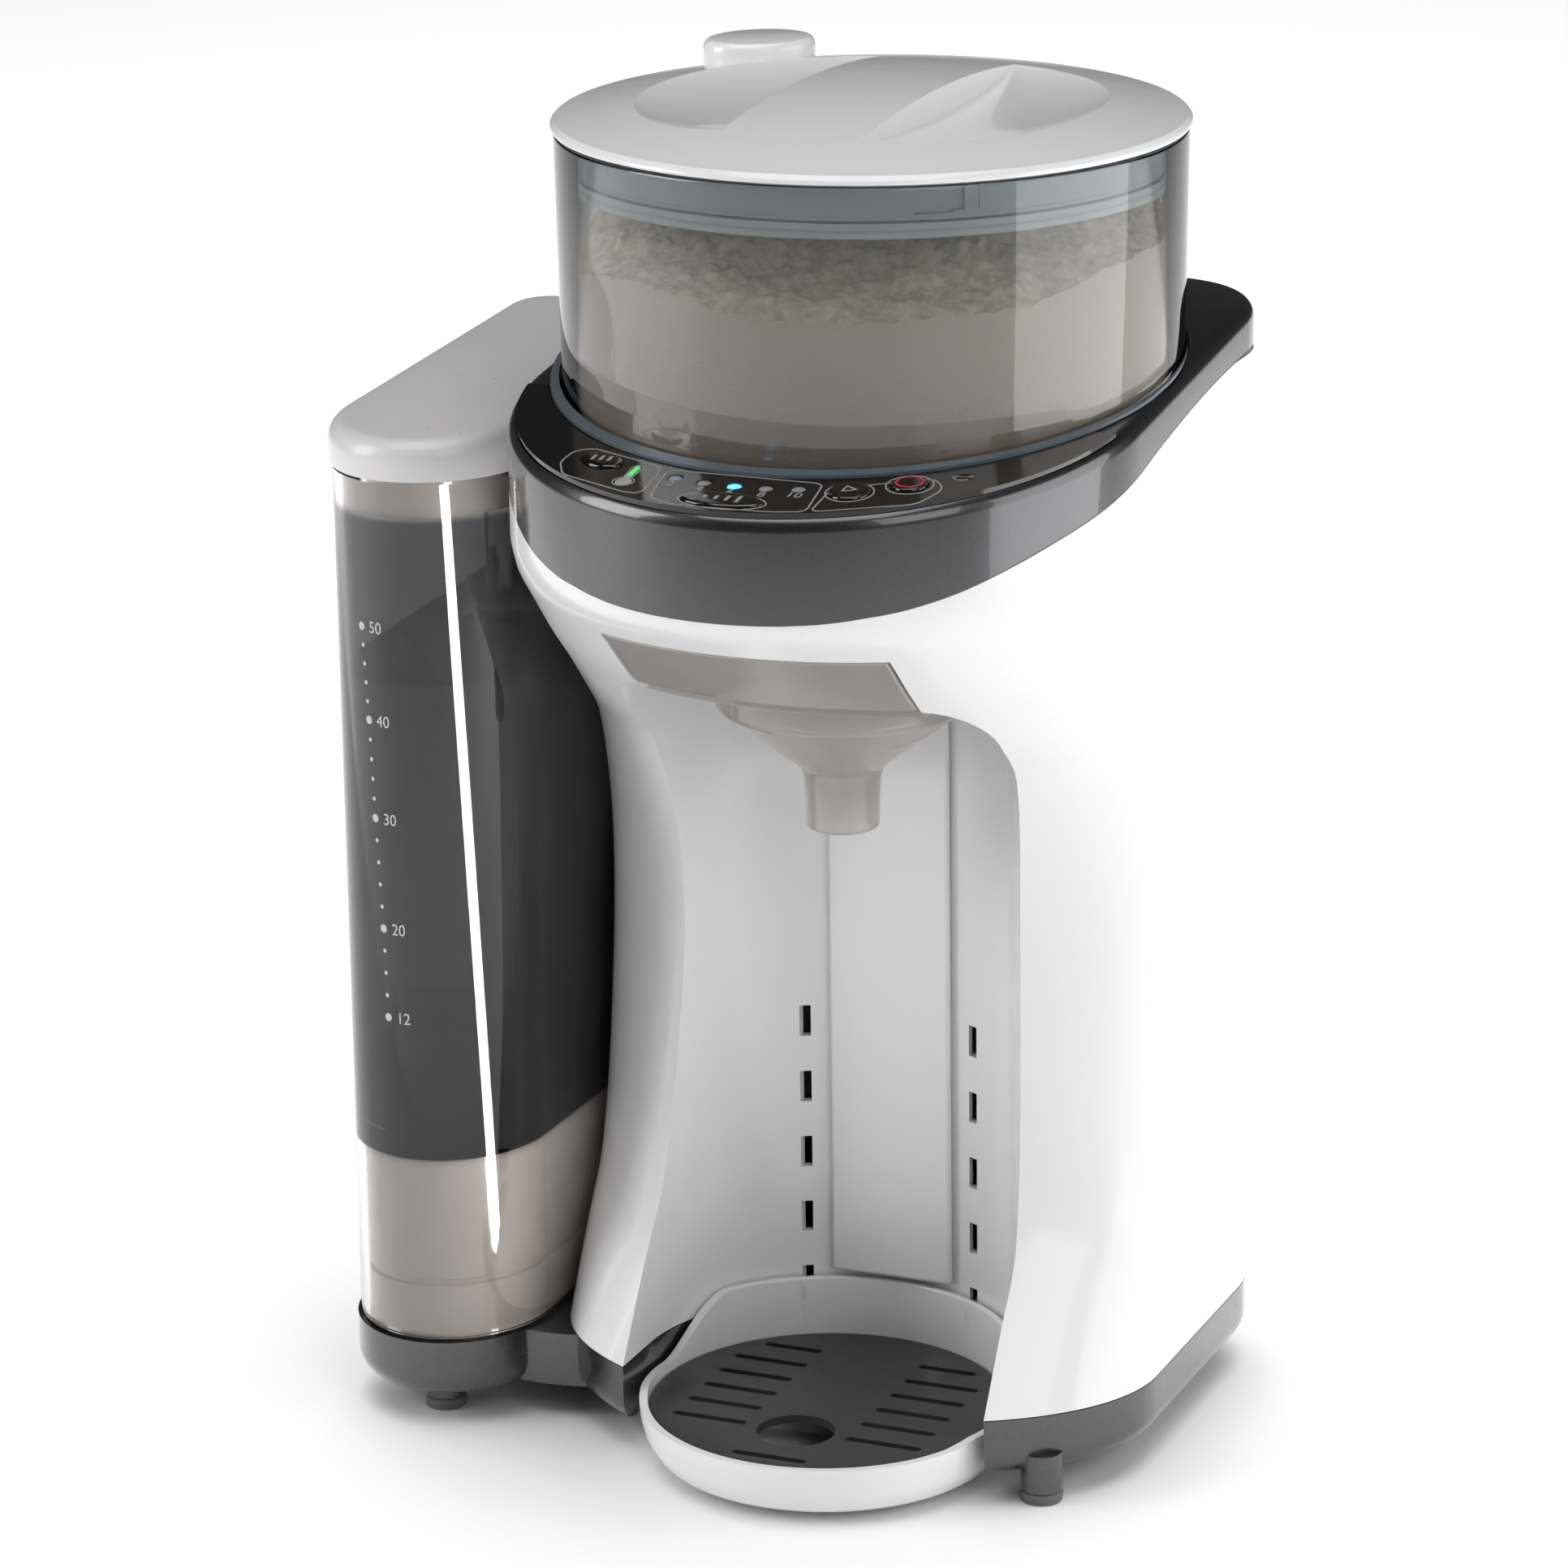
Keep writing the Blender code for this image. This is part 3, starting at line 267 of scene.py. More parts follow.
def turned(profile, at=(0, 0, 0), steps=128, closed=False):
    """A profile of (radius, height) spun about an upright axis."""
    bm = bmesh.new()
    verts = [bm.verts.new((r, 0, z)) for r, z in profile]
    edges = [bm.edges.new(pair) for pair in zip(verts, verts[1:])]
    if closed:
        edges.append(bm.edges.new((verts[-1], verts[0])))
    bmesh.ops.spin(bm, geom=verts + edges, axis=(0, 0, 1), cent=(0, 0, 0), angle=2 * math.pi,
                   steps=steps, use_merge=True, use_duplicate=False)
    bmesh.ops.remove_doubles(bm, verts=bm.verts, dist=1e-4)
    bmesh.ops.recalc_face_normals(bm, faces=bm.faces)
    bmesh.ops.translate(bm, verts=bm.verts, vec=at)
    return bm


def rod(radius, z0, z1, at=(0, 0, 0), steps=64):
    return turned([(0, z1), (radius, z1), (radius, z0), (0, z0)], at, steps)


def bead(points, radius, steps=4):
    """Replaces each corner of a turned profile by a small arc."""
    out = [points[0]]
    for before, corner, after in zip(points, points[1:], points[2:]):
        here = Vector(corner)
        a, b = Vector(before) - here, Vector(after) - here
        reach = min(radius, a.length / 2.2, b.length / 2.2)
        a, b = here + a.normalized() * reach, here + b.normalized() * reach
        for i in range(steps + 1):
            t = i / steps
            out.append(tuple(a.lerp(here, t).lerp(here.lerp(b, t), t)))
    return out + [points[-1]]


def loose_object(name, bm):
    """A plain object holding this bmesh, for a boolean."""
    mesh = bpy.data.meshes.new(name)
    bm.to_mesh(mesh)
    bm.free()
    obj = bpy.data.objects.new(name, mesh)
    bpy.context.scene.collection.objects.link(obj)
    return obj


def carve(bm, *cutters, operation="DIFFERENCE"):
    """Cuts the other shapes from a shape, exactly, and gives the result as a bmesh."""
    body = loose_object("carved", bm)
    tools = [loose_object(f"cutter_{i}", cutter) for i, cutter in enumerate(cutters)]
    for tool in tools:
        step = body.modifiers.new(tool.name, "BOOLEAN")
        step.operation, step.solver, step.object = operation, "EXACT", tool
    bpy.context.view_layer.update()
    result = bmesh.new()
    result.from_mesh(bpy.data.meshes.new_from_object(body.evaluated_get(bpy.context.evaluated_depsgraph_get())))
    for obj in [body, *tools]:
        mesh = obj.data
        bpy.data.objects.remove(obj, do_unlink=True)
        bpy.data.meshes.remove(mesh)
    bmesh.ops.remove_doubles(result, verts=result.verts, dist=1e-3)
    return result


def merged(*shapes):
    """Several separate shapes in one bmesh."""
    whole = bmesh.new()
    for shape in shapes:
        mesh = bpy.data.meshes.new("part_of_piece")
        shape.to_mesh(mesh)
        shape.free()
        whole.from_mesh(mesh)
        bpy.data.meshes.remove(mesh)
    return whole


def show(name, bm, finish, body, nodes=(), edge=0.0, crease=32.0, segments=3):
    """Makes a shape a finished piece: placed, shaded, rounded, given its material, and riding."""
    bmesh.ops.transform(bm, matrix=PLACE, verts=bm.verts)
    for face in bm.faces:
        face.smooth = True
        face.material_index = 0
    for line in bm.edges:
        line.smooth = bool(edge) or line.calc_face_angle(0.0) < math.radians(crease)
    mesh = bpy.data.meshes.new(name)
    bm.to_mesh(mesh)
    bm.free()
    mesh.materials.clear()
    mesh.materials.append(finish)
    obj = bpy.data.objects.new(name, mesh)
    bpy.context.scene.collection.objects.link(obj)
    if edge:
        rounding = obj.modifiers.new("soft_edge", "BEVEL")
        rounding.width = edge * 0.001
        rounding.segments = segments
        rounding.limit_method = "ANGLE"
        rounding.angle_limit = math.radians(crease)
        rounding.harden_normals = True
    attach(obj, body)
    if nodes:
        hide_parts(*nodes)
    return obj


# ---- finishes -------------------------------------------------------------------------------


def linear(code):
    """A hex sRGB colour as linear RGB."""
    values = [int(code[i:i + 2], 16) / 255 for i in (1, 3, 5)]
    return tuple(v / 12.92 if v <= 0.04045 else ((v + 0.055) / 1.055) ** 2.4 for v in values)


def add_node(tree, kind, values=None, links=None, **settings):
    """Adds a node with its settings, its input values and its links."""
    made = tree.nodes.new(kind)
    for key, value in settings.items():
        setattr(made, key, value)
    for key, value in (values or {}).items():
        made.inputs[key].default_value = value
    for key, source in (links or {}).items():
        tree.links.new(source, made.inputs[key])
    return made


def new_finish(name, **sockets):
    """An empty Principled material with constants set on the shader's own sockets."""
    made = bpy.data.materials.new(name)
    made.use_nodes = True
    shader = made.node_tree.nodes["Principled BSDF"]
    for key, value in sockets.items():
        shader.inputs[key.replace("_", " ")].default_value = value
    return made, made.node_tree, shader


def moulded(name, colour, rough, tone=0.05, grain=0.8, relief=0.01, patch=70.0, **sockets):
    """A moulded part: slow colour drift `patch` mm across, and a skin whose grain is `grain` mm."""
    found = bpy.data.materials.get(name)
    if found:
        return found
    made, tree, shader = new_finish(name, **sockets)
    place = add_node(tree, "ShaderNodeTexCoord").outputs["Object"]
    drift = add_node(tree, "ShaderNodeTexNoise", {"Scale": 1000 / patch, "Detail": 2.0}, {"Vector": place})
    skin_grain = add_node(tree, "ShaderNodeTexNoise", {"Scale": 1000 / grain, "Detail": 3.0}, {"Vector": place})
    dark = tuple(c * (1 - tone) for c in colour)
    tint = add_node(tree, "ShaderNodeMix", {6: (*dark, 1.0), 7: (*colour, 1.0)}, {0: drift.outputs["Fac"]},
                    data_type="RGBA")
    gloss = add_node(tree, "ShaderNodeMapRange", {"To Min": rough * 0.8, "To Max": min(rough * 1.2, 1.0)},
                     {"Value": skin_grain.outputs["Fac"]})
    bump = add_node(tree, "ShaderNodeBump", {"Strength": 0.35, "Distance": relief / 1000},
                    {"Height": skin_grain.outputs["Fac"]})
    tree.links.new(tint.outputs[2], shader.inputs["Base Color"])
    tree.links.new(gloss.outputs["Result"], shader.inputs["Roughness"])
    tree.links.new(bump.outputs["Normal"], shader.inputs["Normal"])
    return made


def white_abs():
    # Injection-moulded ABS off a polished tool: milky white under a wet gloss, barely wavy.
    return moulded("white_abs_polished_mould", colours().white, 0.22, 0.025, 9.0, 0.012, 90.0,
                   Coat_Weight=0.35, Coat_Roughness=0.06, IOR=1.52)


def grey_white():
    # Tank lid: the same resin in a warm grey white, moulded satin.
    return moulded("warm_grey_abs_moulded", linear("#DAD8D8"), 0.3, 0.03, 6.0, 0.012, 70.0,
                   Coat_Weight=0.2, Coat_Roughness=0.1, IOR=1.52)


def band_lacquer():
    # ABS sprayed with a metallic grey lacquer: fine flake under a clear coat.
    found = bpy.data.materials.get("grey_metallic_lacquer_on_abs")
    if found:
        return found
    made, tree, shader = new_finish("grey_metallic_lacquer_on_abs", Metallic=0.9, Coat_Weight=0.9,
                                    Coat_Roughness=0.04)
    place = add_node(tree, "ShaderNodeTexCoord").outputs["Object"]
    # Real flake is 0.03 mm and would not show, so it is drawn at 0.3 mm.
    flake = add_node(tree, "ShaderNodeTexVoronoi", {"Scale": 1000 / 0.3}, {"Vector": place})
    drift = add_node(tree, "ShaderNodeTexNoise", {"Scale": 1000 / 45, "Detail": 2.0}, {"Vector": place})
    colour = colours().band
    sparkle = add_node(tree, "ShaderNodeMapRange", {"To Min": 0.92, "To Max": 1.08},
                       {"Value": flake.outputs["Distance"]})
    tint = add_node(tree, "ShaderNodeMix", {6: (*[c * 0.94 for c in colour], 1.0), 7: (*colour, 1.0)},
                    {0: drift.outputs["Fac"]}, data_type="RGBA")
    shine = add_node(tree, "ShaderNodeVectorMath", None,
                     {0: tint.outputs[2], 1: sparkle.outputs["Result"]}, operation="MULTIPLY")
    gloss = add_node(tree, "ShaderNodeMapRange", {"To Min": 0.24, "To Max": 0.32},
                     {"Value": flake.outputs["Distance"]})
    tree.links.new(shine.outputs["Vector"], shader.inputs["Base Color"])
    tree.links.new(gloss.outputs["Result"], shader.inputs["Roughness"])
    return made


def black_panel():
    # Black acrylic overlay, cast and polished: mirror gloss with a trace of handling haze.
    return moulded("black_acrylic_polished", linear("#060607"), 0.09, 0.3, 14.0, 0.002, 30.0,
                   Coat_Weight=0.6, Coat_Roughness=0.03, IOR=1.49)


def blue_grey():
    # Frosted polypropylene, moulded: cool grey that lets a little light through.
    return moulded("blue_grey_polypropylene_frosted", colours().skirt, 0.34, 0.08, 1.0, 0.01, 40.0,
                   Transmission_Weight=0.30, IOR=1.49)


def ring_grey():
    # The ring under the container: the same resin filled darker, half matt.
    return moulded("slate_polypropylene_moulded", linear("#5C6770"), 0.3, 0.08, 1.2, 0.01, 30.0, IOR=1.49)


def clear_styrene():
    # Clear SAN, moulded and polished: glassy, with dark edges where the wall is seen end on.
    return moulded("clear_san_moulded", linear("#EEF0F1"), 0.02, 0.02, 30.0, 0.002, 120.0,
                   Transmission_Weight=1.0, IOR=1.57)


def smoke_styrene():
    # Smoke-tinted SAN. The tint stops at the foot and the rim, where clear wall covers the sleeves.
    found = bpy.data.materials.get("smoke_san_moulded")
    if found:
        return found
    made, tree, shader = new_finish("smoke_san_moulded", Transmission_Weight=1.0, IOR=1.57)
    place = add_node(tree, "ShaderNodeTexCoord").outputs["Object"]
    height = add_node(tree, "ShaderNodeSeparateXYZ", None, {"Vector": place}).outputs["Z"]
    tint = add_node(tree, "ShaderNodeValToRGB")
    stops = tint.color_ramp.elements
    clear, dark = (*linear("#F2F0EE"), 1.0), (*colours().smoke, 1.0)
    stops[0].position, stops[0].color = (TANK_FLOOR_Z - 1.0) / 400, clear
    stops[1].position, stops[1].color = (TANK_FLOOR_Z + 1.5) / 400, dark
    for at, colour in ((255.0, dark), (256.5, clear)):
        stop = stops.new(at / 400)
        stop.color = colour
    scaled = add_node(tree, "ShaderNodeMath", {1: 1 / 0.4}, {0: height}, operation="MULTIPLY")
    tree.links.new(scaled.outputs["Value"], tint.inputs["Fac"])
    wave = add_node(tree, "ShaderNodeTexNoise", {"Scale": 1000 / 35}, {"Vector": place})
    gloss = add_node(tree, "ShaderNodeMapRange", {"To Min": 0.015, "To Max": 0.05}, {"Value": wave.outputs["Fac"]})
    tree.links.new(tint.outputs["Color"], shader.inputs["Base Color"])
    tree.links.new(gloss.outputs["Result"], shader.inputs["Roughness"])
    return made


def taupe():
    # Taupe polypropylene, moulded: warm grey, faintly see-through, glossy outside.
    return moulded("taupe_polypropylene_moulded", colours().taupe, 0.24, 0.05, 2.5, 0.008, 45.0,
                   Transmission_Weight=0.12, IOR=1.49, Coat_Weight=0.3, Coat_Roughness=0.08)


def taupe_clear():
    # The same taupe in a clear grade for the funnel: you see the bulb and the far wall through it.
    return moulded("taupe_san_translucent", colours().funnel, 0.08, 0.05, 12.0, 0.004, 45.0,
                   Transmission_Weight=0.62, IOR=1.5)


def charcoal():
    # Black ABS with a spark-eroded matt skin: 0.5 mm grain that scatters the light.
    return moulded("charcoal_abs_eroded", linear("#343434"), 0.42, 0.12, 0.5, 0.02, 30.0, IOR=1.5)


def rubber():
    # Compression-moulded rubber: grey, dusty and without gloss.
    return moulded("grey_rubber_moulded", linear("#6F6D6B"), 0.8, 0.15, 0.6, 0.03, 8.0)


def silicone():
    # Food-grade silicone, moulded: milky, soft-looking, half matt.
    return moulded("translucent_silicone_moulded", linear("#D9DEE0"), 0.45, 0.06, 1.5, 0.01, 20.0,
                   Transmission_Weight=0.25, IOR=1.41)


def steel():
    # Drawn stainless steel, lightly polished.
    return moulded("stainless_steel_drawn", linear("#C4C4C2"), 0.28, 0.1, 0.9, 0.004, 12.0, Metallic=1.0)


def circuit():
    # Fibreglass board under green solder resist.
    return moulded("green_solder_resist_board", linear("#1D5A34"), 0.4, 0.35, 1.2, 0.02, 4.0)


def grey_ink():
    # Screen-printed grey ink, half matt on the gloss panel.
    return moulded("grey_screen_ink", linear("#9C9C9C"), 0.5, 0.1, 0.5, 0.002, 3.0)


def scale_ink():
    # Light grey pad-printed ink on the tank's wall.
    return moulded("pale_pad_printed_ink", linear("#C9C9C9"), 0.5, 0.1, 0.5, 0.002, 3.0)


def red_ink():
    return moulded("red_screen_ink", linear("#C8354A"), 0.45, 0.1, 0.5, 0.002, 3.0)


def lens(name, code, glow):
    """A small acrylic light guide, lit from behind when it glows."""
    made = moulded(name, linear(code), 0.18, 0.2, 0.6, 0.003, 1.6, Emission_Strength=glow)
    made.node_tree.nodes["Principled BSDF"].inputs["Emission Color"].default_value = (*linear(code), 1.0)
    return made


def milk_powder():
    # Milk powder: pressed smooth where it meets the wall, loose crumbs 1 to 4 mm across on top.
    made, tree, shader = new_finish("cream_milk_powder", Roughness=0.95, Specular_IOR_Level=0.15)
    shader.inputs["Subsurface Weight"].default_value = 0.12
    shader.inputs["Subsurface Radius"].default_value = (0.0012, 0.0010, 0.0008)
    place = add_node(tree, "ShaderNodeTexCoord").outputs["Object"]
    crumbs = add_node(tree, "ShaderNodeTexNoise", {"Scale": 1000 / 4.2, "Detail": 5.0, "Roughness": 0.62},
                      {"Vector": place})
    pits = add_node(tree, "ShaderNodeTexNoise", {"Scale": 1000 / 0.9, "Detail": 4.0, "Roughness": 0.6},
                    {"Vector": place})
    cloud = add_node(tree, "ShaderNodeTexNoise", {"Scale": 1000 / 60, "Detail": 3.0}, {"Vector": place})
    normal = add_node(tree, "ShaderNodeNewGeometry").outputs["True Normal"]
    up = add_node(tree, "ShaderNodeSeparateXYZ", None, {"Vector": normal}).outputs["Z"]
    loose = add_node(tree, "ShaderNodeMapRange", {"From Min": 0.15, "From Max": 0.5}, {"Value": up})
    # The pressed side is coloured darker than the crumbs on top: partly the pressed powder, partly painted shade under
    # the lid.
    pressed = add_node(tree, "ShaderNodeMix", {6: (*[c * 0.86 for c in colours().powder], 1.0),
                                               7: (*colours().powder, 1.0)},
                       {0: cloud.outputs["Fac"]}, data_type="RGBA")
    # The heap's colour follows the crumbs' height, so it darkens in the hollows between them: painted shade.
    ramp = add_node(tree, "ShaderNodeMapRange", {"From Min": 0.32, "From Max": 0.68}, {"Value": crumbs.outputs["Fac"]})
    heap = add_node(tree, "ShaderNodeMix", {6: (*linear("#CBB692"), 1.0), 7: (*linear("#F6EAD0"), 1.0)},
                    {0: ramp.outputs["Result"]}, data_type="RGBA")
    both = add_node(tree, "ShaderNodeMix", None, {0: loose.outputs["Result"], 6: pressed.outputs[2],
                                                  7: heap.outputs[2]}, data_type="RGBA")
    fine = add_node(tree, "ShaderNodeBump", {"Strength": 0.25, "Distance": 0.0003},
                    {"Height": pits.outputs["Fac"]})
    coarse = add_node(tree, "ShaderNodeBump", {"Distance": 0.0006},
                      {"Height": crumbs.outputs["Fac"], "Strength": loose.outputs["Result"],
                       "Normal": fine.outputs["Normal"]})
    tree.links.new(both.outputs[2], shader.inputs["Base Color"])
    tree.links.new(coarse.outputs["Normal"], shader.inputs["Normal"])
    return made


def water():
    # Still water: clear in itself, but given a grey tint as painted shade that darkens the tank below the waterline.
    return moulded("still_water_in_smoke_tank", linear("#8E9294"), 0.01, 0.04, 50.0, 0.002, 80.0,
                   Transmission_Weight=1.0, IOR=1.333)


# ---- settings -------------------------------------------------------------------------------


def colour_property(name, code, description):
    return FloatVectorProperty(name=name, description=description, subtype="COLOR", size=3, min=0.0,
                               max=1.0, default=linear(code))


class DispenserColours(bpy.types.PropertyGroup):
    """Colours of the mouldings and the powder"""

    white: colour_property("Housing White", "#F1F1F2", "ABS of the housing, the lid and the stand")
    band: colour_property("Band Grey", "#545456", "Metallic lacquer of the band and the base")
    skirt: colour_property("Skirt Blue Grey", "#C0CCD2", "Frosted skirt under the lid and ring round the container")
    smoke: colour_property("Tank Smoke", "#767677", "Tint of the water tank's wall")
    taupe: colour_property("Taupe", "#B4ABA5", "Collar and sleeve of the tank")
    funnel: colour_property("Funnel Taupe", "#DCD5D1", "Clear taupe of the funnel drawer")
    # The powder colour on the pressed side is kept darker, partly as painted shade under the lid.
    powder: colour_property("Powder", "#D0BDAD", "Milk powder pressed against the wall")


class DispenserSizes(bpy.types.PropertyGroup):
    """Sizes of the pieces that a user would change"""

    powder_level: FloatProperty(name="Powder Level", description="Height of the powder at the front wall",
                                default=0.320, min=0.28, max=0.34, unit="LENGTH")
    water_level: FloatProperty(name="Water Level", description="Height of the water in the tank",
                               default=0.210, min=0.09, max=0.25, unit="LENGTH")
    lid_rise: FloatProperty(name="Lid Rise", description="Height of the lid's crown over its rim",
                            default=0.0092, min=0.006, max=0.02, unit="LENGTH")
    soft_edge: FloatProperty(name="Housing Edge", description="Rounding of the housing's cut edges",
                             default=0.0012, min=0.0003, max=0.003, unit="LENGTH")
    print_line: FloatProperty(name="Print Line", description="Width of the lines printed on the panel",
                              default=0.00042, min=0.0002, max=0.001, unit="LENGTH")


def sizes():
    return bpy.context.scene.dispenser_sizes


def colours():
    return bpy.context.scene.dispenser_colours


def area_light(context, name, place, aim, size, power, along=None):
    """A rectangular lamp that isn't seen itself. Its second side lies along `along` if that is given."""
    data = bpy.data.lights.new(name, "AREA")
    data.shape = "RECTANGLE"
    data.size, data.size_y = size
    data.energy = power
    lamp = bpy.data.objects.new(name, data)
    back = (Vector(place) - Vector(aim)).normalized()
    turn = (-back).to_track_quat("-Z", "Y").to_matrix()
    if along:
        up = Vector(along).normalized()
        back = (back - back.dot(up) * up).normalized()
        turn = Matrix((up.cross(back), up, back)).transposed()
    lamp.matrix_world = Matrix.Translation(place) @ turn.to_4x4()
    lamp.visible_camera = False
    context.scene.collection.objects.link(lamp)
    return lamp


def light_only(lamp, *objects):
    """Keeps a lamp's light to these objects."""
    group = bpy.data.collections.new(lamp.name + "_receivers")
    for obj in objects:
        group.objects.link(obj)
    lamp.light_linking.receiver_collection = group


# ---- pieces ---------------------------------------------------------------------------------


class DISPENSER_OT_stage(bpy.types.Operator):
    """Pale floor, soft lights and the camera"""

    bl_idname = "dispenser.stage"
    bl_label = "Stage"

    def execute(self, context):
        floor = bmesh.new()
        bmesh.ops.create_grid(floor, x_segments=1, y_segments=1, size=6000)
        mesh = bpy.data.meshes.new("studio_floor")
        bmesh.ops.scale(floor, vec=(0.001, 0.001, 0.001), verts=floor.verts)
        floor.to_mesh(mesh)
        floor.free()
        # Seamless paper sweep: near white, quite matt.
        mesh.materials.append(moulded("white_paper_sweep", linear("#F7F7F7"), 0.7, 0.01, 2.0, 0.01, 400.0))
        ground = bpy.data.objects.new("studio_floor", mesh)
        context.scene.collection.objects.link(ground)
        self.light_world(context)
        for name, place, aim, size, power in (
            ("right_card", (0.80, 0.13, 0.38), (0.0, 0.13, 0.30), (0.76, 0.74), 3.8),
            ("key_softbox", (1.5, -1.3, 1.2), (0.0, 0.0, 0.16), (1.0, 1.4), 8.0),
            ("left_softbox", (-1.5, -0.9, 0.9), (-0.1, 0.0, 0.16), (0.9, 1.4), 17.0),
            ("top_softbox", (0.0, -0.3, 2.0), (0.0, 0.0, 0.2), (1.6, 1.6), 18.0),
        ):
            area_light(context, name, place, aim, size, power)
        # The paper behind the object has a light of its own, so it stays white to the horizon.
        sweep = area_light(context, "sweep_light", (-0.5, 1.5, 1.9), (-0.5, 1.6, 0.0), (3.4, 3.4), 75.0)
        sweep.visible_glossy = False
        light_only(sweep, ground)
        self.add_camera(context)
        context.scene.view_settings.view_transform = "Standard"
        return {"FINISHED"}

    def light_world(self, context):
        world = bpy.data.worlds.new("studio")
        world.use_nodes = True
        tree = world.node_tree
        back = tree.nodes["Background"]
        # A dim studio: the softboxes and the floor light the object, and gloss stays dark above it.
        back.inputs["Color"].default_value = (1.0, 1.0, 1.0, 1.0)
        back.inputs["Strength"].default_value = 0.04
        context.scene.world = world

    def add_camera(self, context):
        data = bpy.data.cameras.new("camera")
        data.sensor_width = 36.0
        data.lens = 141.4
        data.clip_end = 50.0
        camera = bpy.data.objects.new("camera", data)
        right, up = Vector((0.92272, 0.38528, -0.01269)), Vector((-0.10261, 0.27721, 0.95531))
        back = Vector((0.37158, -0.88018, 0.29532))
        camera.matrix_world = Matrix.Translation((0.61728, -1.45116, 0.66463)) @ Matrix(
            (right, up, back)).transposed().to_4x4()
        context.scene.collection.objects.link(camera)
        context.scene.camera = camera


class DISPENSER_OT_housing(bpy.types.Operator):
    """White housing with its bottle bay, drawer channel, slots and spine"""

    bl_idname = "dispenser.housing"
    bl_label = "Housing"

    def execute(self, context):
        heights = [25 + 231 * i / 58 for i in range(59)] + [290]
        shell = skin([body_ring(z) for z in heights])
        levels = (20, 40, 58, 82, 120, 160, 182, 198, 209, 219, 228, 238)
        cavity = skin([body_ring(z, WALL + 0.6, 48, 6) for z in levels]
                      + [body_ring(z, WALL, 48, 6) for z in (248, 256, 300)])
        bay_skin = rod(BAY_RADIUS + WALL, 10, BAY_TOP + WALL, (0, BAY_Y, 0), 96)
        depth = 63 + CHANNEL_BACK
        channel_skin = block((0, -63, (CHANNEL_TOP + WALL + 205) / 2),
                             (2 * (CHANNEL_HALF + WALL), 2 * (depth + WALL), CHANNEL_TOP + WALL - 205))
        cavity = carve(cavity, bay_skin, channel_skin)
        channel = block((0, -63, (CHANNEL_TOP + 206) / 2), (2 * CHANNEL_HALF, 2 * depth, CHANNEL_TOP - 206))
        span = [-113.0 + 193.0 * i / 60 for i in range(61)]
        profile = [(y, band_edge(y) - 0.35) for y in span] + [(90, 330), (-120, 330)]
        above = skin([[(x, y, z) for y, z in profile] for x in (-100, 100)])
        chute = rod(11.3, 230, 260, (-5, FUNNEL_Y, 0))
        nozzle = rod(4.6, 230, 260, (18, FUNNEL_Y, 0), 32)
        back = block((0, BACK_Y, 155), (92, 20, 224))
        slots = [block((side * SLOT_X, 8, SLOT_Z + i * SLOT_PITCH), (2.8, 16, 8.8))
                 for side in (-1, 1) for i in range(SLOT_COUNT)]
        shell = carve(shell, cavity, self.bay_cutter(), channel, above, chute, nozzle, back, *slots)
        show("housing_shell", shell, white_abs(), "housing", ("front_housing",),
             edge=sizes().soft_edge * 1000, crease=38)
        self.add_spine()
        return {"FINISHED"}

    def bay_cutter(self):
        """An upright drum with a domed shoulder, opened to the front by its own silhouette."""
        shoulder = [(BAY_RADIUS - BAY_ROUND + x, BAY_TOP - BAY_ROUND + z)
                    for x, z in arc(0, 0, BAY_ROUND, 90, 0, 10)]
        drum = turned([(0, BAY_TOP), *shoulder, (BAY_RADIUS, 5), (0, 5)], (0, BAY_Y, 0), 144)
        outline = shoulder + [(BAY_RADIUS, 5), (-BAY_RADIUS, 5)] + [(-x, z) for x, z in reversed(shoulder)]
        mouth = skin([[(x, y, z) for x, z in outline] for y in (BAY_Y + 0.01, -130)])
        return carve(drum, mouth, operation="UNION")

    def add_spine(self):
        """The raised strip down the middle of the bay's back wall."""
        strip = block((0, 9.6, 119), (35, 5, 170))
        wall = turned([(90, 240), (90, 0), (BAY_RADIUS - 0.3, 0), (BAY_RADIUS - 0.3, 240)],
                      (0, BAY_Y, 0), 144, closed=True)
        show("bay_spine_strip", carve(strip, wall), white_abs(), "housing", ("bay_spine",),
             edge=1.4, crease=40, segments=4)


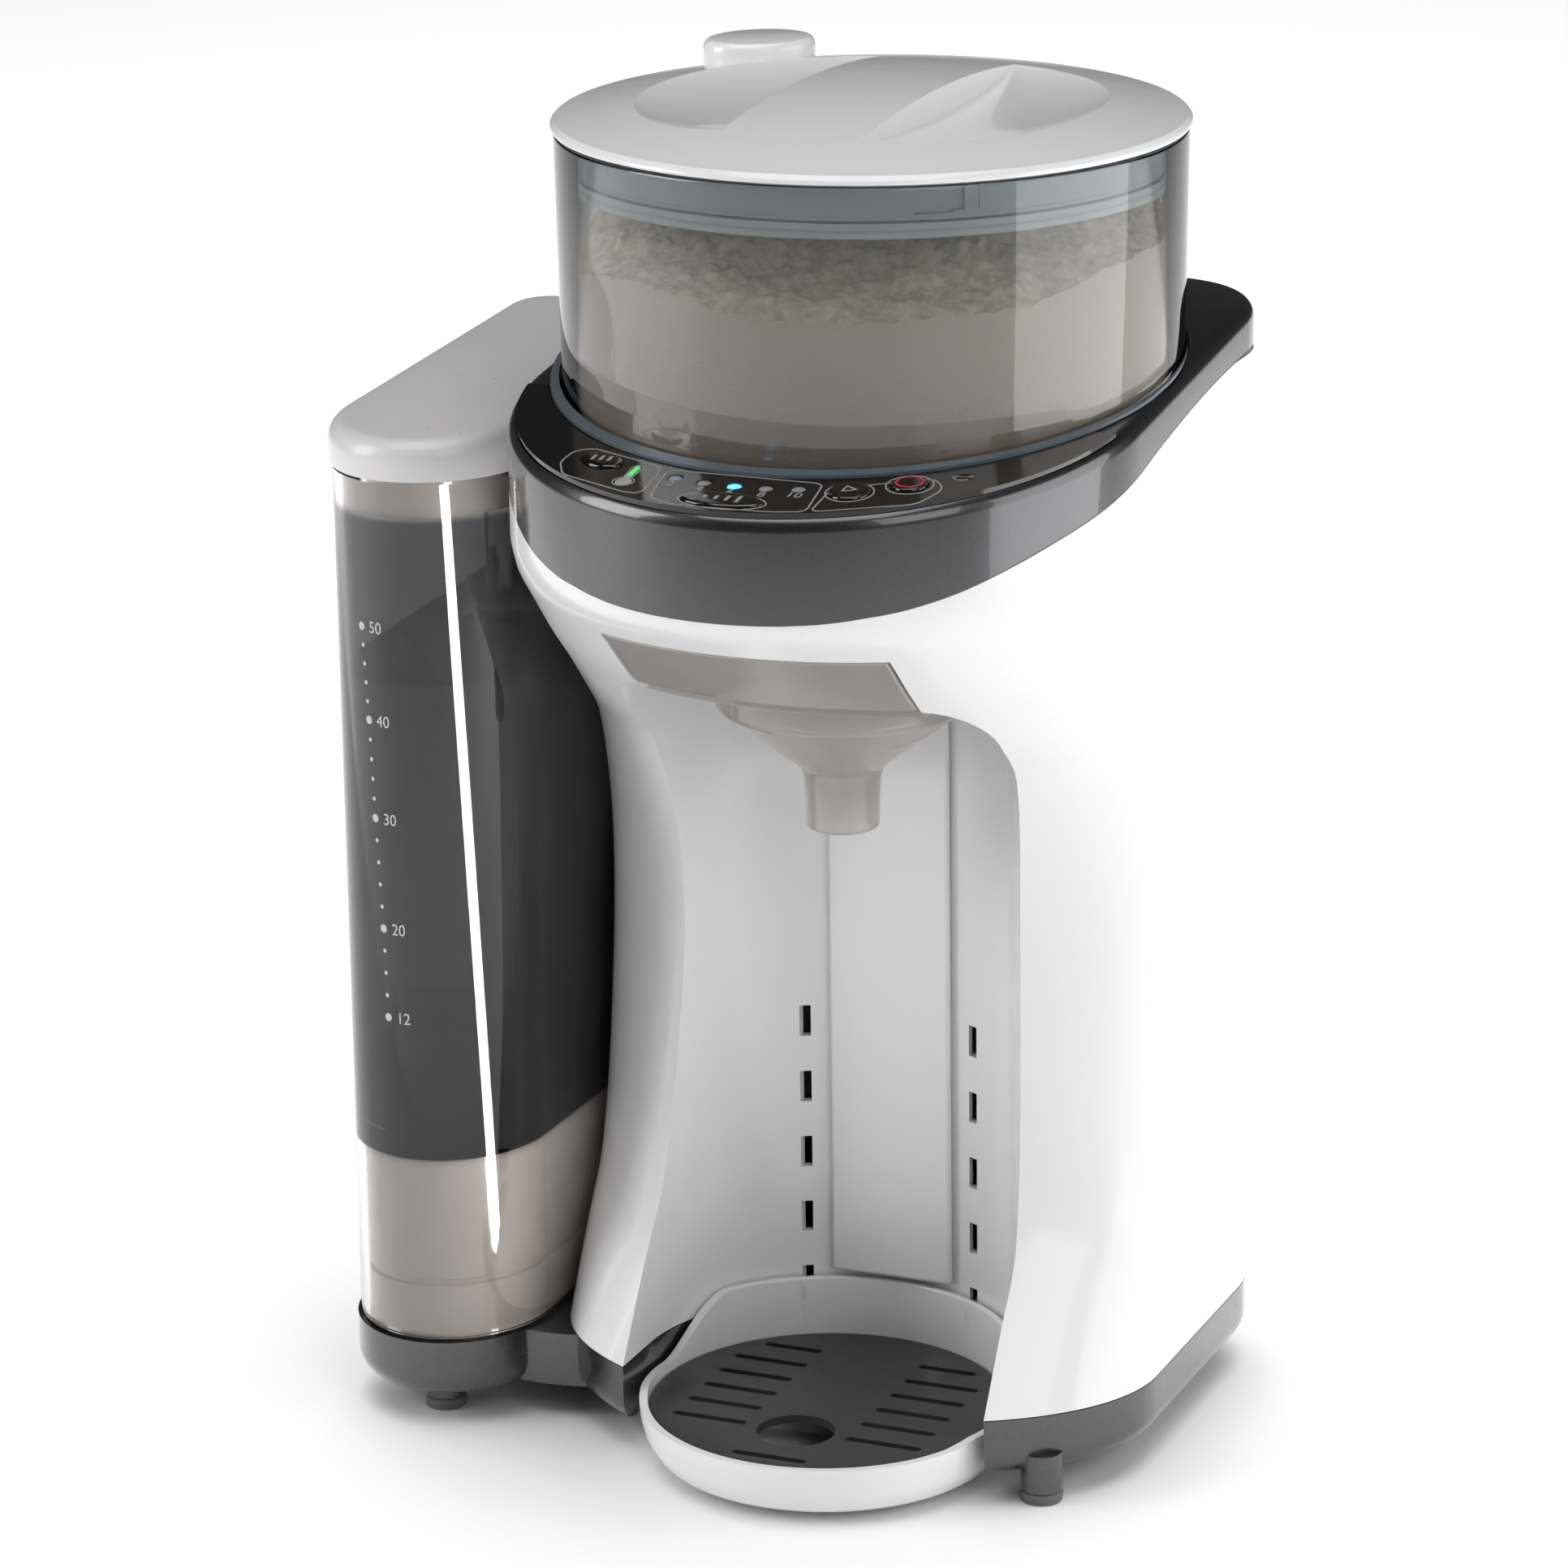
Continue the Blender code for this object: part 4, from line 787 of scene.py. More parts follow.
class DISPENSER_OT_band(bpy.types.Operator):
    """Metallic grey band and top round the container"""

    bl_idname = "dispenser.band"
    bl_label = "Band"

    def execute(self, context):
        nose_y, depth = NOSE[-1][1:]

        def ring(inset, drop):
            return raise_to(body_outline(nose_y, depth, inset), lambda y: top_plane(y) - drop)

        round_over = [ring(4.2 * (1 - math.cos(a)), 4.2 * (1 - math.sin(a)))
                      for a in (math.pi / 2 * i / 8 for i in range(9))]
        shell = skin([raise_to(body_outline(nose_y, depth), 240), *round_over])
        for y in range(26, 84, 6):
            bmesh.ops.bisect_plane(shell, geom=[*shell.verts, *shell.edges, *shell.faces],
                                   plane_co=(0, y, 0), plane_no=(0, 1, 0), dist=1e-4)
        cavity = skin([raise_to(body_outline(nose_y, depth, WALL, 48, 6), 230),
                       raise_to(body_outline(nose_y, depth, WALL, 48, 6), over_top(-7.0)),
                       raise_to(body_outline(nose_y, depth, WALL + 3, 48, 6), over_top(-3.4))])
        span = [-113.0 + 193.0 * i / 60 for i in range(61)]
        profile = [(y, band_edge(y)) for y in span]
        profile += [(90, band_edge(80)), (90, 220), (-120, 220), (-120, band_edge(-113))]
        below = skin([[(x, y, z) for y, z in profile] for x in (-100, 100)])
        well = rod(82.6, 240, 330, steps=160)
        recess = slab(crescent(0.35), over_top(-1.3), over_top(6))
        wells = [slab(moved(oval(hx + 0.6, hy + 0.6, turn), x, y),
                      over_top(-6), over_top(1))
                 for x, y, hx, hy, turn in BUTTONS.values()]
        wells += [rod(2.6, 270, 300, (x, y, 0), 24) for _, x, y in LEDS]
        wells += [rod(3.2, 270, 300, (*THERMOMETER, 0), 24), rod(2.6, 270, 300, (*FUNNEL_LAMP, 0), 24)]
        shell = carve(shell, below, cavity, well, recess, *wells)
        show("band_shell", shell, band_lacquer(), "housing", ("top_shroud",), edge=0.3, crease=40)
        ring_plan = rod(82.3, 250, 330, steps=192)
        seat = carve(slab(arc(0, -3.2, 83.2, 0, 352.5, 190), over_top(0.3),
                          over_top(1.2)), ring_plan)
        show("container_seat_ring", seat, ring_grey(), "housing", ("seat_ring",), edge=0.15, crease=40)
        return {"FINISHED"}


def printed_ring(outline, line, round_by=0.0):
    """A printed line along an outline on the panel's face, as a thin raised band."""
    bm = bmesh.new()
    made = bmesh.ops.create_circle(bm, radius=1.0, segments=len(outline), cap_ends=True)
    for vert, (x, y) in zip(made["verts"], outline):
        vert.co = (x, y, 0)
    if round_by:
        bmesh.ops.bevel(bm, geom=list(bm.verts), offset=round_by, segments=8, profile=0.5,
                        affect="VERTICES", material=-1)
    face = max(bm.faces, key=lambda f: f.calc_area())
    bmesh.ops.inset_individual(bm, faces=[face], thickness=line)
    bmesh.ops.delete(bm, geom=[face], context="FACES")
    bmesh.ops.recalc_face_normals(bm, faces=bm.faces)
    if sum(f.normal.z for f in bm.faces) < 0:
        bmesh.ops.reverse_faces(bm, faces=bm.faces)
    return lie_on_panel(bm)


def thicken(bm):
    """Gives flat print its thickness of ink."""
    top = bmesh.ops.extrude_face_region(bm, geom=list(bm.faces))["geom"]
    bmesh.ops.translate(bm, verts=[v for v in top if isinstance(v, bmesh.types.BMVert)], vec=(0, 0, PRINT_THICK))
    bmesh.ops.recalc_face_normals(bm, faces=bm.faces)
    return bm


def lie_on_panel(bm, lift=0.42):
    """Thickens flat print and lays it on the sloping panel."""
    for vert in thicken(bm).verts:
        vert.co.z += top_plane(vert.co.y) + lift
    return bm


def lettering(text, height, x, y, turn=0.0):
    """Flat printed numerals as a bmesh, centred on (x, y)."""
    curve = bpy.data.curves.new("numeral", "FONT")
    curve.body = text
    curve.size = height * 1.38
    curve.align_x, curve.align_y = "CENTER", "CENTER"
    curve.resolution_u = 4
    obj = bpy.data.objects.new("numeral", curve)
    bpy.context.scene.collection.objects.link(obj)
    bpy.context.view_layer.update()
    mesh = bpy.data.meshes.new_from_object(obj.evaluated_get(bpy.context.evaluated_depsgraph_get()))
    bm = bmesh.new()
    bm.from_mesh(mesh)
    bpy.data.objects.remove(obj, do_unlink=True)
    bpy.data.curves.remove(curve)
    bpy.data.meshes.remove(mesh)
    bmesh.ops.remove_doubles(bm, verts=bm.verts, dist=1e-5)
    bmesh.ops.dissolve_limit(bm, angle_limit=0.001, verts=bm.verts, edges=bm.edges)
    bmesh.ops.transform(bm, matrix=Matrix.Translation((x, y, 0)) @ Matrix.Rotation(math.radians(turn), 4, "Z"),
                        verts=bm.verts)
    return bm


class DISPENSER_OT_panel(bpy.types.Operator):
    """Black gloss panel with its buttons, lenses and printed marks"""

    bl_idname = "dispenser.panel"
    bl_label = "Control Panel"

    def execute(self, context):
        plate = slab(crescent(), over_top(-1.0), over_top(0.4))
        holes = []
        for name, (x, y, half_x, half_y, turn) in BUTTONS.items():
            outline = oval(half_x, half_y, turn)
            grow = 1 + 0.25 / half_x, 1 + 0.25 / half_y
            holes.append(slab([(x + px * grow[0], y + py * grow[1]) for px, py in outline],
                              over_top(-3), over_top(3)))
            self.add_button(name, x, y, outline)
        holes += [rod(2.1, 270, 300, (x, y, 0), 32) for _, x, y in LEDS]
        holes.append(rod(2.1, 270, 300, (*FUNNEL_LAMP, 0), 32))
        bulb = moved(self.bulb_outline(0.3), *THERMOMETER)
        holes.append(slab(bulb, over_top(-3), over_top(3)))
        show("panel_overlay", carve(plate, *holes), black_panel(), "housing", ("control_panel",),
             edge=0.25, crease=40)
        self.add_lenses()
        self.add_print()
        return {"FINISHED"}

    def bulb_outline(self, margin=0.0):
        """A thermometer: a round bulb at the front and a stem going back."""
        return (arc(0, -3.9, 2.2 + margin, -245, 65, 24) + arc(0, 5.2, 0.95 + margin, 0, 180, 10))

    def add_button(self, name, x, y, outline):
        rings = []
        for scale, lift in ((1.0, -5.6), (1.0, 0.55), (0.985, 0.85), (0.95, 1.05), (0.88, 1.2), (0.6, 1.3)):
            rings.append([(x + px * scale, y + py * scale, top_plane(y) + TOP_SLOPE * py * scale + lift)
                          for px, py in outline])
        body = {"temp_button": "temp_key", "ounce_button": "ounce_key", "start_button": "start_key",
                "stop_button": "stop_key"}[name]
        show(name + "_cap", skin(rings), black_panel(), body, (name,), crease=50)

    def add_lenses(self):
        for number, x, y in LEDS:
            lit = number == 6
            look = lens("lit_blue_light_guide", "#59B7F0", 1.6) if lit else lens("dark_light_guide", "#8E9499", 0.0)
            dome = turned([(0, 0.75), (1.0, 0.68), (1.6, 0.45), (1.9, 0.1), (1.9, -5.0), (0, -5.0)],
                          (x, y, top_plane(y)), 40)
            show(f"dose_light_{number}", dome, look, "housing", (f"dose_led_{number}",), crease=50)
        dome = turned([(0, 0.6), (1.6, 0.4), (1.9, 0.1), (1.9, -5.0), (0, -5.0)],
                      (*FUNNEL_LAMP, top_plane(FUNNEL_LAMP[1])), 40)
        show("funnel_light", dome, black_panel(), "housing", ("funnel_lamp_lens",), crease=50)
        plan = moved(self.bulb_outline(), *THERMOMETER)
        body = slab(plan, over_top(-0.9), over_top(0.5), 0.2)
        show("thermometer_window", body, lens("frosted_light_guide", "#A6ACB0", 0.0), "housing",
             ("thermometer_lens",), crease=50)
        stem = arc(0, 2.1, 0.62, 0, 180, 8) + [(-0.62, -3.2), (0.62, -3.2)]
        bar = slab(moved(stem, THERMOMETER[0], -89.9),
                   over_top(0.4), over_top(0.66))
        show("thermometer_lit_bar", bar, lens("lit_green_light_guide", "#3FC25B", 1.0), "housing", (),
             crease=50)

    def add_print(self):
        line = sizes().print_line * 1000
        temp = [(-50.0, -88.5), (-49.6, -80.5), (-45.0, -77.6), (-24.0, -85.2), (-22.0, -88.5), (-20.8, -103.0),
                (-24.4, -104.0), (-46.0, -96.0)]
        dose = [(-20.8, -86.9), (21.8, -86.9), (24.4, -105.4), (15.5, -107.6), (-10.5, -108.6), (-18.0, -105.6)]
        run = [(24.6, -89.8), (47.4, -77.2), (52.6, -83.4), (49.6, -94.6), (25.0, -105.4)]
        marks = [printed_ring(temp, line, 2.2), printed_ring(dose, line, 2.6), printed_ring(run, line, 3.0)]
        ringed = {"ounce_button": (11.9, 5.3), "start_button": (6.3, 6.3), "stop_button": (6.2, 6.2)}
        for name, halves in ringed.items():
            marks.append(printed_ring(moved(oval(*halves), *BUTTONS[name][:2]), line))
        marks.append(printed_ring(moved(self.bulb_outline(0.75), *THERMOMETER), line * 0.8))
        for number, x, y in LEDS:
            marks.append(lie_on_panel(lettering(str(number), 3.2, x + 0.4, y - 4.2)))
        # A small funnel, drawn as its bowl.
        bowl = [(51.2, -75.4), (56.6, -73.6), (55.6, -77.0), (53.0, -77.6)]
        marks.append(printed_ring(bowl, line * 0.8, 0.5))
        show("panel_print", merged(*marks), grey_ink(), "housing", (), crease=50)
        self.add_key_marks(line)

    def add_key_marks(self, line):
        """Marks on the buttons' caps: three short bars, a bar graph, an arrow and a stop octagon."""
        x, y = BUTTONS["stop_button"][:2]
        stop = moved(arc(0, 0, 3.9, 22.5, 337.5, 7), x, y)
        octagon = self.on_cap(printed_ring(stop, line * 1.5))
        show("stop_key_mark", octagon, red_ink(), "stop_key", (), crease=50)
        x, y = BUTTONS["start_button"][:2]
        arrow = [(x - 1.6, y - 2.2), (x + 2.4, y), (x - 1.6, y + 2.2)]
        show("start_key_mark", self.on_cap(printed_ring(arrow, line * 1.2, 0.4)), grey_ink(), "start_key",
             (), crease=50)
        x, y = BUTTONS["ounce_button"][:2]
        bars = merged(*[self.flat_bar(x - 4.5 + 3.0 * i, y, 0.9, 1.4 + 0.9 * i) for i in range(4)])
        show("ounce_key_mark", self.on_cap(bars), grey_ink(), "ounce_key", (), crease=50)
        x, y = BUTTONS["temp_button"][:2]
        waves = merged(*[self.flat_bar(x - 2.2 + 2.2 * i, y, 0.8, 3.0) for i in range(3)])
        show("temp_key_mark", self.on_cap(waves), grey_ink(), "temp_key", (), crease=50)

    def flat_bar(self, x, y, width, height):
        bm = bmesh.new()
        bmesh.ops.create_grid(bm, x_segments=1, y_segments=1, size=0.5,
                              matrix=Matrix.Translation((x, y, 0)) @ Matrix.Diagonal((width, height, 1, 1)))
        return lie_on_panel(bm)

    def on_cap(self, bm):
        """Lifts print from the panel's face onto a button's cap."""
        bmesh.ops.translate(bm, verts=bm.verts, vec=(0, 0, 0.86))
        return bm


class DISPENSER_OT_base(bpy.types.Operator):
    """Dark base tray with its feet"""

    bl_idname = "dispenser.base"
    bl_label = "Base"

    def execute(self, context):
        top = HOUSING_FOOT_Z - 0.3
        nose_y, depth = NOSE[0][1:]

        def rounded(outline_at, round_by):
            rings = []
            for i in range(7):
                angle = math.pi / 2 * i / 6
                rings.append(raise_to(outline_at(round_by * (1 - math.sin(angle))),
                                      BASE_Z + round_by * (1 - math.cos(angle))))
            return skin(rings + [raise_to(outline_at(0.0), top)])

        body = rounded(lambda inset: body_outline(nose_y, depth, inset), 7.0)
        pod = rounded(lambda inset: tank_outline(inset - 1.0), 7.0)
        # A web with a hollow front joins the two.
        bow = [(-101.0 + 33.0 * i / 16, -39.0 - 6.5 * math.sin(math.pi * i / 16) ** 0.7 * 0.5) for i in range(17)]
        web = slab([(-101, 60)] + bow + [(-68, 60)], BASE_Z + 1.6, top)
        base = carve(body, pod, web, *[rod(5.6, 3.4, 14, (x, y, 0), 48) for x, y in FEET], operation="UNION")
        inside = slab(body_outline(nose_y, depth, WALL + 0.4, 48, 6), BASE_Z + 3, 40)
        inside = carve(inside, rod(BAY_RADIUS + WALL, 5, 45, (0, BAY_Y, 0), 96))
        pod_inside = slab(tank_outline(WALL - 1.0, 40, 6), BASE_Z + 3, 21.0)
        well = rod(BAY_RADIUS, 0, 50, (0, BAY_Y, 0), 144)
        mouth = block((0, -90, 20), (2 * BAY_RADIUS, 102, 60))
        hose_gap = block((-86, 44, 15.5), (20, 12, 8))
        socket = rod(10.0, 18, 40, TANK_OUTLET)
        base = carve(base, inside, pod_inside, well, mouth, hose_gap, socket)
        show("base_tray", base, band_lacquer(), "housing", ("base",), edge=0.5, crease=42)
        for i, (x, y) in enumerate(FEET):
            pad = turned(bead([(0, 3.1), (5.4, 3.1), (5.8, 2.2), (5.4, 0.0), (3.6, 0.0), (3.2, 0.5), (0, 0.5)], 0.3),
                         (x, y, 0), 64)
            show(f"foot_pad_{i + 1}", pad, rubber(), "housing", (f"foot_{i + 1}",), crease=50)
        return {"FINISHED"}


class DISPENSER_OT_container(bpy.types.Operator):
    """Clear powder container with the milk powder in it"""

    bl_idname = "dispenser.container"
    bl_label = "Powder Container"

    def execute(self, context):
        foot, rim = CONTAINER_FOOT_Z, CONTAINER_RIM_Z
        outer, low = CONTAINER_RADIUS, CONTAINER_FOOT_RADIUS
        profile = [(0, foot + 3), (low - 2.5, foot + 3), (outer - 2.5, rim), (outer, rim), (low, foot), (0, foot)]
        wall = carve(turned(bead(profile, 0.8), steps=192), rod(9.0, 250, 275, (-5, FUNNEL_Y, 0)),
                     rod(5.2, 250, 275))
        show("container_wall", wall, clear_styrene(), "container", ("container_shell",), crease=40)
        tab = slab(rounded_plan(-26, 12, 78, 6, 86.3, 5.0, 24, 8), rim - 4.6, rim - 0.8, 0.8)
        tab = carve(tab, rod(CONTAINER_RADIUS + 0.3, 300, 400, steps=192))
        show("container_tab_grip", tab, white_abs(), "container", (), crease=40)
        self.add_powder(foot, rim)
        return {"FINISHED"}

    def add_powder(self, foot, rim):
        level = sizes().powder_level * 1000
        steps, rows = 360, 84
        radius = 78.9
        heap = turned([(0, 0)] + [(radius * (i / rows) ** 0.85, 0) for i in range(1, rows + 1)], steps=steps)
        for vert in heap.verts:
            vert.co.z = self.heap_height(vert.co.x, vert.co.y, level)
        loop = [e for e in heap.edges if e.is_boundary]
        hold = CONTAINER_FOOT_RADIUS - 2.5 - 0.35
        for drop in (0.5, 2.0, None):
            made = bmesh.ops.extrude_edge_only(heap, edges=loop)["geom"]
            low = {v for v in made if isinstance(v, bmesh.types.BMVert)}
            loop = [e for e in made if isinstance(e, bmesh.types.BMEdge) and low.issuperset(e.verts)]
            for vert in low:
                z = foot + 12.0 if drop is None else vert.co.z - drop
                scale = (hold + 0.4 * (z - foot) / 58.0) / math.hypot(vert.co.x, vert.co.y)
                vert.co = (vert.co.x * scale, vert.co.y * scale, z)
        bmesh.ops.contextual_create(heap, geom=loop)
        bmesh.ops.recalc_face_normals(heap, faces=heap.faces)
        show("milk_powder_heap", heap, milk_powder(), "container", (), crease=75)

    def heap_height(self, x, y, level):
        """A loose heap: its edge follows POWDER_EDGE round the wall, and crumbs cover its crown."""
        r = math.hypot(x, y)
        edge = smooth_value(POWDER_EDGE, math.degrees(math.atan2(y, x)) % 360)[0] + level - 320.0
        crown = level + 20.0 - 4.0 * ((x + 10.0) ** 2 + (y - 15.0) ** 2) / 60.0**2
        rise = min(1.0, max(0.0, (79.0 - r) / 50.0))
        place = Vector((x, y, 0.0))
        lumps = 2.8 * noise.noise(place / 17.0) + 2.2 * noise.noise(place / 7.5 + Vector((9.1, 0, 0)))
        crumbs = 1.9 * abs(noise.noise(place / 3.4)) + 1.3 * abs(noise.noise(place / 1.8))
        inside = min(1.0, max(0.0, (79.0 - r) / 6.0))
        ragged = 1.1 * noise.noise(Vector((x, y, 3.0)) / 5.0) + 0.8 * noise.noise(Vector((x, y, 7.0)) / 1.7)
        height = edge + (crown - edge) * rise * (2.0 - rise) + lumps * inside * 0.7
        return min(height + crumbs * inside + ragged * (1 - inside), 342.6)


class DISPENSER_OT_lid(bpy.types.Operator):
    """White lid with two finger hollows, its frosted skirt and the seal"""

    bl_idname = "dispenser.lid"
    bl_label = "Lid"

    def execute(self, context):
        rim, radius, rise = CONTAINER_RIM_Z, CONTAINER_RADIUS + 0.8, sizes().lid_rise * 1000
        crown = rim + rise + 1.8
        profile = [(r, crown - 8.0 * (r / (radius - 1.0)) ** 2) for r in ((radius - 2.2) * i / 40 for i in range(41))]
        edge = ((1.3, 3.1), (0.6, 2.6), (0.1, 1.9), (0, 1.3), (0.3, 0.8), (1.2, 0.5), (radius, 0.5))
        profile += [(radius - inset, rim + z) for inset, z in edge]
        cover = carve(turned(profile, steps=192), self.thumb_tab(rim), operation="UNION")
        hollows = []
        for side in (-1, 1):
            hollow = bmesh.new()
            bmesh.ops.create_uvsphere(hollow, u_segments=128, v_segments=64, radius=1.0)
            bmesh.ops.scale(hollow, vec=(39.4, 57.4, 6.5), verts=hollow.verts)
            bmesh.ops.translate(hollow, vec=(side * 24, 1, crown - 2.0), verts=hollow.verts)
            cut = bmesh.ops.bisect_plane(hollow, geom=[*hollow.verts, *hollow.edges, *hollow.faces],
                                         plane_co=(side * 19.0, 0, 0), plane_no=(-side, 0, 0), clear_outer=True)
            bmesh.ops.contextual_create(hollow, geom=[e for e in cut["geom_cut"]
                                                      if isinstance(e, bmesh.types.BMEdge)])
            bmesh.ops.recalc_face_normals(hollow, faces=hollow.faces)
            hollows.append(hollow)
        show("lid_dome", carve(cover, *hollows), white_abs(), "lid", ("lid_cover",), edge=0.9,
             crease=24, segments=4)
        self.add_skirt(rim)
        return {"FINISHED"}

    def thumb_tab(self, rim):
        """A rounded tab that stands up at the back of the rim."""
        turn = math.radians(134.0)
        lobe = []
        for i in range(64):
            angle = math.tau * i / 64
            out, across = 80.0 + 12.5 * math.cos(angle), 15.5 * math.sin(angle)
            lobe.append((out * math.cos(turn) - across * math.sin(turn),
                         out * math.sin(turn) + across * math.cos(turn)))
        return slab(lobe, rim + 1.5, rim + 9.8, 2.4)

    def skirt_block(self, radius, turn, z, size):
        """A block that lies along the skirt at an angle round it."""
        angle = math.radians(turn)
        made = block((0, 0, 0), size)
        spot = Matrix.Translation((radius * math.cos(angle), radius * math.sin(angle), z))
        bmesh.ops.transform(made, matrix=spot @ Matrix.Rotation(angle + math.pi / 2, 4, "Z"), verts=made.verts)
        return made

    def add_skirt(self, rim):
        profile = [(0, rim + 0.2), (79.4, rim + 0.2), (79.4, rim - 7.6), (78.9, rim - 8.0), (78.9, rim - 9.0),
                   (77.2, rim - 9.0), (77.2, rim - 1.6), (0, rim - 1.6)]
        skirt = turned(bead(profile, 0.3), steps=192)
        cuts = []
        for turn, z, size in ((-53.0, rim - 3.4, (4.4, 2.0, 6.6)), (-57.0, rim - 6.0, (10.0, 2.0, 2.6))):
            cuts.append(self.skirt_block(79.4, turn, z, size))
        body = next(b for b, nodes in frame_bodies().items() if "lid_skirt" in nodes)
        lug = self.skirt_block(79.15, -45.5, rim - 3.6, (9.0, 0.8, 6.4))
        skirt = carve(carve(skirt, *cuts), lug, operation="UNION")
        show("lid_skirt_ring", skirt, blue_grey(), body, ("lid_skirt",), edge=0.3, crease=40)
        seal = turned(bead([(79.2, rim - 9.5), (79.2, rim - 11.0), (78.6, rim - 11.4), (79.2, rim - 11.8),
                            (79.2, rim - 13.4), (75.0, rim - 13.4), (75.0, rim - 9.5)], 0.3), steps=192, closed=True)
        body = next(b for b, nodes in frame_bodies().items() if "lid_seal" in nodes)
        show("lid_seal_ring", seal, silicone(), body, ("lid_seal",), crease=60)


def frame_bodies():
    """Body names and the CAD nodes that each carries."""
    return frame["record"]["behaviour"]["bodies"]


class DISPENSER_OT_tank(bpy.types.Operator):
    """Smoke water tank with its lid, collar, sleeve, water and printed scale"""

    bl_idname = "dispenser.tank"
    bl_label = "Water Tank"

    def execute(self, context):
        foot, floor, rim = TANK_FOOT_Z, TANK_FLOOR_Z, TANK_RIM_Z
        out, inner = tank_outline(), tank_outline(2.2)
        soft = tank_outline(0.5)
        shell = skin([raise_to(inner, floor), raise_to(inner, foot), raise_to(soft, foot), raise_to(out, foot + 0.6),
                      raise_to(out, rim - 0.6), raise_to(soft, rim), raise_to(inner, rim),
                      raise_to(inner, floor + 4.0), raise_to(tank_outline(2.8), floor + 2.8),
                      raise_to(tank_outline(4.0), floor + 2.4)])
        shell = carve(shell, rod(6.0, 60, 100, TANK_OUTLET))
        wall = show("tank_wall", shell, smoke_styrene(), "tank", ("tank_shell",), crease=30)
        # A narrow strip lamp draws the bright line down the tank's nose.
        strip = area_light(context, "strip_lamp", (0.0182, -0.0868, 0.128), (-0.067, -0.045, 0.165), (0.02, 0.245),
                           0.42, (-0.0154, -0.0254, 0.0977))
        light_only(strip, wall)
        level = sizes().water_level * 1000
        pool = skin([raise_to(tank_outline(3.0), floor + 3.2), raise_to(tank_outline(2.3), floor + 4.4),
                     raise_to(tank_outline(2.3), level)])
        pool = carve(pool, rod(9.6, 60, 100, TANK_OUTLET), rod(4.2, 60, 260, FLOAT_AT),
                     rod(14.3, 193.7, 260, FLOAT_AT))
        show("tank_water", pool, water(), "tank", (), crease=40)
        self.add_sleeves(foot, floor, rim)
        self.add_lid(rim)
        self.add_scale()
        return {"FINISHED"}

    def add_sleeves(self, foot, floor, rim):
        insert = skin([raise_to(tank_outline(5.2), floor - 4.0), raise_to(tank_outline(5.2), foot + 0.1),
                       raise_to(tank_outline(2.6), foot + 0.1), raise_to(tank_outline(2.6), 40.2),
                       raise_to(tank_outline(3.3), 40.6), raise_to(tank_outline(3.3), 41.8),
                       raise_to(tank_outline(2.6), 42.2), raise_to(tank_outline(2.6), floor - 0.4)])
        neck = turned([(12.0, floor - 2), (12.0, foot + 5), (8.6, foot + 5), (8.6, floor - 2)], TANK_OUTLET,
                      64, closed=True)
        insert = carve(carve(insert, neck, operation="UNION"), rod(8.6, 10, 120, TANK_OUTLET))
        show("tank_sleeve", insert, taupe(), "tank", ("tank_foot",), crease=35)
        ring = skin([raise_to(tank_outline(2.6), z) for z in (rim - 10.0, rim - 0.6)]
                    + [raise_to(tank_outline(4.8), z) for z in (rim - 0.6, rim - 10.0)], False, False)
        self.close_ends(ring)
        show("tank_collar_band", ring, taupe(), "tank", ("tank_collar",), crease=35)

    def close_ends(self, bm):
        bmesh.ops.bridge_loops(bm, edges=[e for e in bm.edges if e.is_boundary])
        bmesh.ops.recalc_face_normals(bm, faces=bm.faces)

    def add_lid(self, rim):
        def lid_top(y):
            return 279.6 + 0.052 * (y - TANK_BACK) + 5.0

        rings = [raise_to(tank_outline(5.3), 276.0), raise_to(tank_outline(5.3), rim - 8),
                 raise_to(tank_outline(7.2), rim - 8), raise_to(tank_outline(7.2), 274.0)]
        lip = skin(rings)
        rings = [raise_to(tank_outline(2.0), 273.0), raise_to(tank_outline(2.0), rim + 0.3),
                 raise_to(tank_outline(-0.5), rim + 0.3), raise_to(tank_outline(-0.9), rim + 0.9)]
        for i in range(9):
            angle = math.pi / 2 * i / 8
            inset, drop = -0.9 + 5.0 * (1 - math.cos(angle)), 5.0 * (1 - math.sin(angle))
            rings.append(raise_to(tank_outline(inset), lambda y, drop=drop: lid_top(y) - drop))
        lid = skin(rings)
        show("tank_lid_cap", carve(lid, lip, operation="UNION"), grey_white(), "tank_cover", ("tank_lid",),
             crease=35)

    def on_wall(self, bm, angle, z):
        """Wraps flat print round the tank's nose at an angle of its ellipse and a height."""
        middle, half = (TANK_LEFT + TANK_RIGHT) / 2, (TANK_RIGHT - TANK_LEFT) / 2
        for vert in bm.verts:
            around = math.radians(angle) + vert.co.x / (half + 3)
            out = 0.05 + vert.co.z
            normal = Vector((math.cos(around) / half, math.sin(around) / TANK_NOSE_DEPTH, 0)).normalized()
            spot = Vector((middle + half * math.cos(around), TANK_NOSE_Y + TANK_NOSE_DEPTH * math.sin(around), 0))
            vert.co = spot + normal * out + Vector((0, 0, z + vert.co.y))
        return bm

